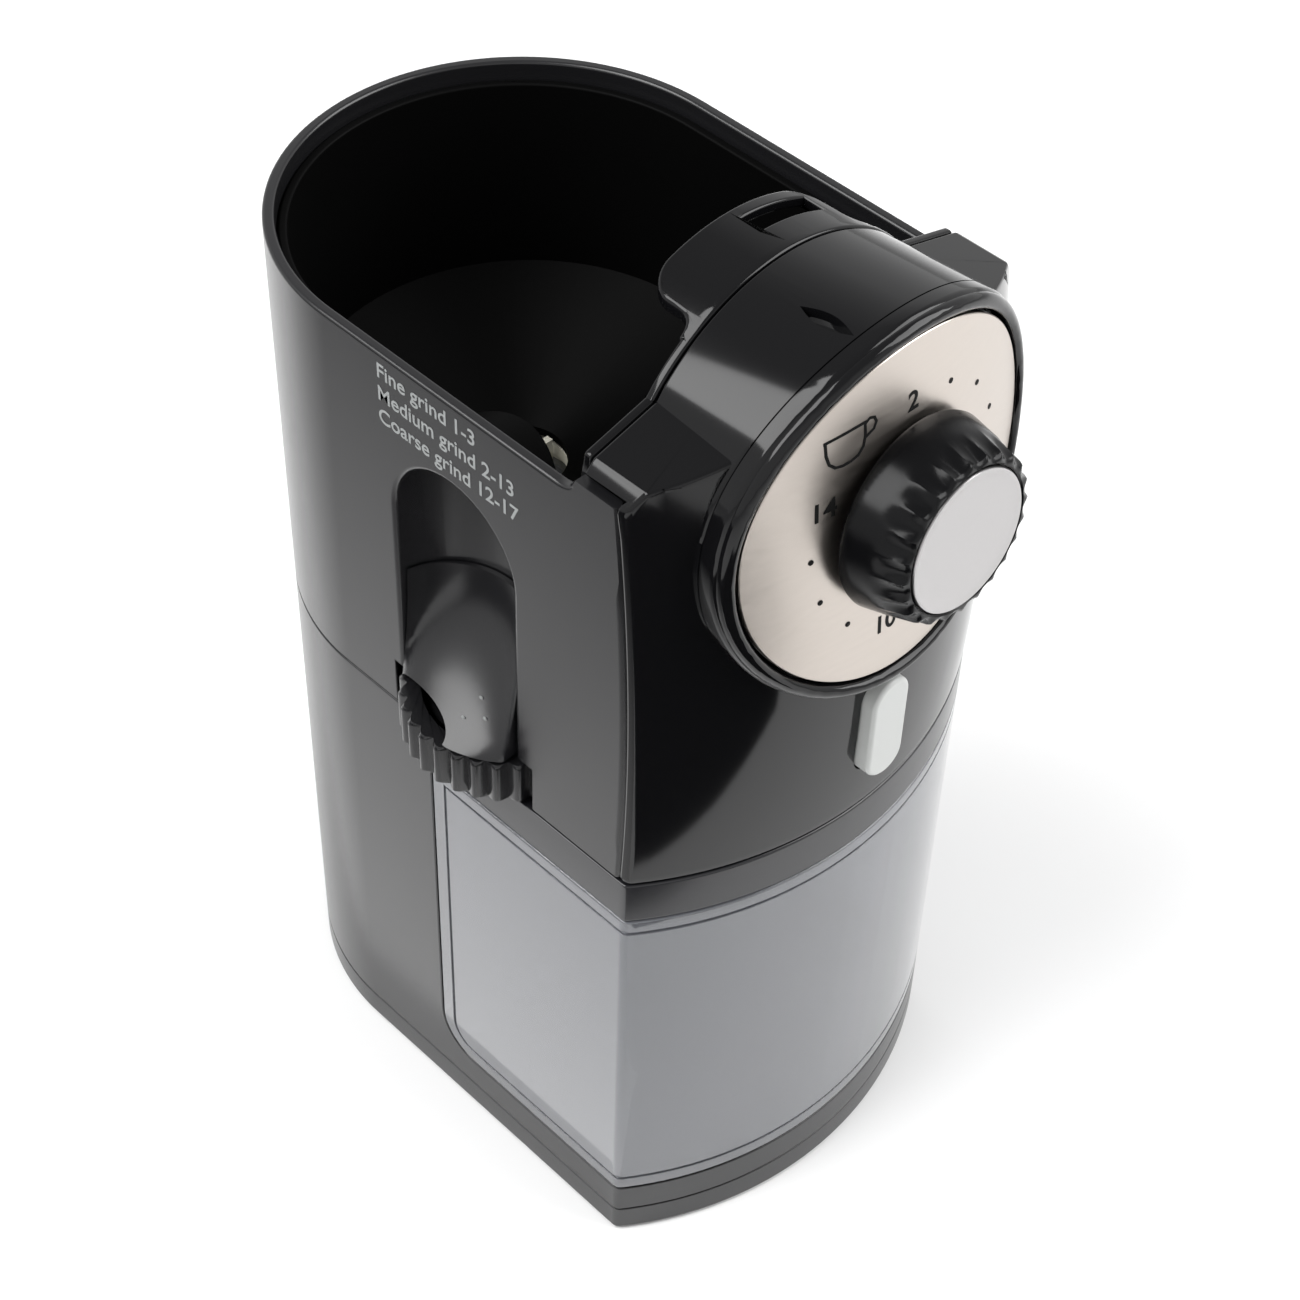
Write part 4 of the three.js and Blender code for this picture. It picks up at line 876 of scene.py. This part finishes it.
def recess_wall(y):
    """Where the recess's rear wall stands at a point along the flank."""
    middle = (RECESS_Y[0] + RECESS_Y[1]) / 2
    half_span = (RECESS_Y[1] - RECESS_Y[0]) / 2 - GAP
    return -HALF_WIDTH + (RECESS_DEPTH - GAP) * math.sqrt(1 - ((y - middle) / half_span) ** 2)


def scoop_face(y, rise):
    """The scoop's face at a share of its height: bulging over the wheel at its foot, hollow above."""
    weight = (1 - rise) ** 2.6
    bulge = WHEEL_AXIS[0] - math.sqrt(SCOOP_BULGE**2 - (y - WHEEL_AXIS[1]) ** 2)
    return (recess_wall(y) - 0.5) * (1 - weight) + bulge * weight


def scoop_section(rise, columns=48):
    """The scoop in plan at a share of its height."""
    spots = [-49.3 + 31.2 * i / columns for i in range(columns + 1)]
    front = [(scoop_face(y, rise), y) for y in spots]
    back = [(recess_wall(y), y) for y in spots]
    return front + back[::-1]


def build_scoop():
    levels = 32
    rings = []
    for k in range(levels + 1):
        rise = SCOOP_SHARE * k / levels
        rings.append([(x, y, SCOOP_FOOT + SCOOP_HEIGHT * rise) for x, y in scoop_section(rise)])
    scoop = loft("thumb_scoop_shell", rings)
    # A low arch in its foot shows the wheel's top
    turns = [math.pi * i / 24 for i in range(48)]
    arch = [(-28.5 + 9.5 * math.cos(a), SCOOP_FOOT + 3.2 * math.sin(a)) for a in turns]
    cut(scoop, along_x("t", arch, -70, -40))
    cut(scoop, prism("t", circle(WHEEL_AXIS, 1.7, 24), 120, 136.3))
    soften(scoop, (0.35, lambda m, e: convex(e, 55) and m.z < SCOOP_FOOT + 0.02 and m.x < -48))
    settle(scoop, "housing", SATIN, ["thumb_scoop"])
    # Three pale dots near its foot mark the fine end
    for i, (y, z) in enumerate(((-38.1, 133.4), (-38.9, 136.6), (-42.1, 134.8))):
        x = scoop_face(y, (z - SCOOP_FOOT) / SCOOP_HEIGHT)
        dot = ball(f"scoop_dot_{i + 1}", (x, y, z), 0.55)
        settle(dot, "housing", PRINT_PALE)


def ball(name, centre, radius):
    """A small flattened bead of paint."""
    profile = [(0, -radius / 3)]
    for i in range(5):
        a = -math.pi / 3 + math.pi / 6 * i
        profile.append((radius * math.cos(a), radius * math.sin(a) / 3))
    profile.append((0, radius / 3))

    def lift(p):
        return (centre[0] - p[2], centre[1] + p[0], centre[2] + p[1])

    return smooth(turned(name, profile, (0, 0), 20, lift), 80)


# ---- Print -------------------------------------------------------------------------------------
def lettering(name, words, size, to_point, align="CENTER", weight=0.012):
    """Raised print: words in the built-in font, laid on a surface by to_point(x, y, height)."""
    curve = bpy.data.curves.new(name, "FONT")
    curve.body = words
    curve.size = size
    curve.extrude = 0.03
    curve.offset = weight * size
    curve.align_x = align
    curve.align_y = "CENTER"
    carrier = bpy.data.objects.new("carrier", curve)
    bpy.context.scene.collection.objects.link(carrier)
    bpy.context.view_layer.update()
    flat = bpy.data.meshes.new_from_object(carrier.evaluated_get(bpy.context.evaluated_depsgraph_get()))
    points = [to_point(v.co.x, v.co.y, v.co.z + 0.03) for v in flat.vertices]
    faces = [tuple(face.vertices) for face in flat.polygons]
    bpy.data.objects.remove(carrier)
    bpy.data.meshes.remove(flat)
    return new_object(name, points, faces)


def stroke(name, path, width, to_point):
    """A raised line of even width along a path of (x, y) points."""
    rings = []
    last = len(path) - 1
    for i, (x, y) in enumerate(path):
        before, after = path[max(i - 1, 0)], path[min(i + 1, last)]
        run, rise = after[0] - before[0], after[1] - before[1]
        length = math.hypot(run, rise)
        dx, dy = -rise / length * width / 2, run / length * width / 2
        corners = ((1, 0), (-1, 0), (-1, 0.06), (1, 0.06))
        rings.append([to_point(x + side * dx, y + side * dy, height) for side, height in corners])
    return loft(name, rings)


def on_plate(centre, turn=0.0):
    """A flat drawing laid on the curved plate about a centre, turned by an angle."""
    def to_point(x, y, height):
        u = centre[0] + x * math.cos(turn) - y * math.sin(turn)
        v = centre[1] + x * math.sin(turn) + y * math.cos(turn)
        return bent((u, v, height + 0.01))
    return to_point


def build_dial_print():
    centre, radius, step = (1.7, -1.0), 23.7, math.radians(25)
    first = math.radians(94)
    numbers = {0: "2", 4: "6", 8: "10", 12: "14"}
    for i in range(13):
        angle = first - i * step
        spot = (centre[0] + radius * math.cos(angle), centre[1] + radius * math.sin(angle))
        if i in numbers:
            mark = lettering(f"dial_number_{numbers[i]}", numbers[i], 5.6, on_plate(spot), weight=0.016)
        else:
            rings = [[on_plate(spot)(x, y, h) for x, y in circle((0, 0), 0.55, 20)] for h in (0, 0.06)]
            mark = loft(f"dial_dot_{i}", rings)
        settle(mark, "housing", PRINT)
    # A plain cup beside the first number
    side = [(4.15, 3.2), (4.1, 0.5), (3.6, -1.6), (2.4, -2.9), (0.9, -3.3)]
    bowl = [(-x, y) for x, y in side] + side[::-1]
    handle = [(4.2, 2.9), (5.2, 3.5), (6.2, 3.1), (6.6, 2.0), (6.0, 0.8), (4.2, 0.0)]
    place_cup = on_plate((-15.2, 20.8), math.radians(4))
    lines = {"rim": [(-4.5, 3.2), (0, 3.2), (4.5, 3.2)], "bowl": bowl, "handle": handle}
    for part, path in lines.items():
        settle(stroke(f"cup_{part}", path, 0.6, place_cup), "housing", PRINT)


def build_side_print():
    """Three lines of plain grind names on the left flank, reading from the back to the front."""
    lines = (("Fine grind 1-3", 203.3), ("Medium grind 2-13", 198.1), ("Coarse grind 12-17", 192.9))
    for i, (words, z) in enumerate(lines):
        def to_point(x, y, height, line_z=z):
            return (-HALF_WIDTH - height - 0.01, -14.6 - x, line_z + y)
        text = lettering(f"side_print_{i + 1}", words, 4.7, to_point, "LEFT")
        settle(text, "housing", PRINT_PALE)


build_base()
build_lower_housing()
build_container()
build_upper_housing()
build_hopper()
build_hood()
build_front_panel()
build_dial()
build_knob()
build_button()
build_wheel()
build_scoop()
build_dial_print()
build_side_print()


# ---- Stage -------------------------------------------------------------------------------------
FRONT_CARD = [(-330, -100), (-84, -158), (12, -248), (24, -290), (12, -420), (-330, -420)]
SIDE_CARD = [(-60, -120), (-60, 700), (-1500, 700), (-1500, -120)]


def build_stage():
    """A wide pale floor, a pale surrounding, and soft lights."""
    material, _, shader = node_material("floor_paper")
    shader.inputs["Base Color"].default_value = (0.92, 0.92, 0.92, 1)
    shader.inputs["Roughness"].default_value = 0.9
    size = 4000
    corners = [(-size, -size, 0), (size, -size, 0), (size, size, 0), (-size, size, 0)]
    floor = new_object("floor", corners, [(0, 1, 2, 3)])
    floor.data.materials.append(material)
    # Cards on the floor, seen only in reflections: black in front, bright and fading out beside the flank
    reflection_card("front_card", FRONT_CARD, 0.0, 0.0)
    reflection_card("side_card", SIDE_CARD, 1.7, 0.0)
    build_surrounding()
    lamp("key_light", (-700, 300, 1100), 900, 17)
    lamp("fill_light", (700, -700, 900), 900, 13)


def reflection_card(name, corners, near, far):
    """A card that only reflections see. Its light falls from near to far, away from the flank."""
    card = new_object(name, [(x, y, 0.5) for x, y in corners], [tuple(range(len(corners)))])
    material, tree, shader = node_material(name + "_light")
    coords = add_node(tree, "ShaderNodeTexCoord")
    parts = add_node(tree, "ShaderNodeSeparateXYZ")
    fade = add_node(tree, "ShaderNodeMapRange")
    glow = add_node(tree, "ShaderNodeEmission")
    fade.inputs["From Min"].default_value = place((-60, 0, 0)).x
    fade.inputs["From Max"].default_value = place((-300, 0, 0)).x
    fade.inputs["To Min"].default_value = near
    fade.inputs["To Max"].default_value = far
    tree.links.new(coords.outputs["Object"], parts.inputs["Vector"])
    tree.links.new(parts.outputs["X"], fade.inputs["Value"])
    tree.links.new(fade.outputs["Result"], glow.inputs["Strength"])
    tree.links.new(glow.outputs["Emission"], tree.nodes["Material Output"].inputs["Surface"])
    tree.nodes.remove(shader)
    card.data.materials.append(material)
    card.visible_camera = False
    card.visible_diffuse = False
    card.visible_shadow = False
    card.visible_transmission = False


def build_surrounding():
    """Pale near the horizon, darker overhead."""
    world = bpy.data.worlds.new("surrounding")
    world.use_nodes = True
    tree = world.node_tree
    coords = add_node(tree, "ShaderNodeTexCoord")
    parts = add_node(tree, "ShaderNodeSeparateXYZ")
    ramp = add_node(tree, "ShaderNodeMapRange")
    ramp.inputs["From Min"].default_value = 0.45
    ramp.inputs["From Max"].default_value = 0.75
    ramp.inputs["To Min"].default_value = 0.85
    ramp.inputs["To Max"].default_value = 0.35
    tree.links.new(coords.outputs["Generated"], parts.inputs["Vector"])
    tree.links.new(parts.outputs["Z"], ramp.inputs["Value"])
    tree.links.new(ramp.outputs["Result"], tree.nodes["Background"].inputs["Strength"])
    tree.nodes["Background"].inputs["Color"].default_value = (1, 1, 1, 1)
    bpy.context.scene.world = world


def lamp(name, spot, size, power):
    """A square soft light aimed at the middle of the machine."""
    data = bpy.data.lights.new(name, "AREA")
    data.shape = "SQUARE"
    data.size = size * MM
    data.energy = power
    lamp_object = bpy.data.objects.new(name, data)
    bpy.context.scene.collection.objects.link(lamp_object)
    lamp_object.location = place(spot)
    target = place((0, -20, 110))
    lamp_object.rotation_euler = (target - lamp_object.location).to_track_quat("-Z", "Y").to_euler()


build_stage()
bpy.context.scene.view_settings.view_transform = "Standard"
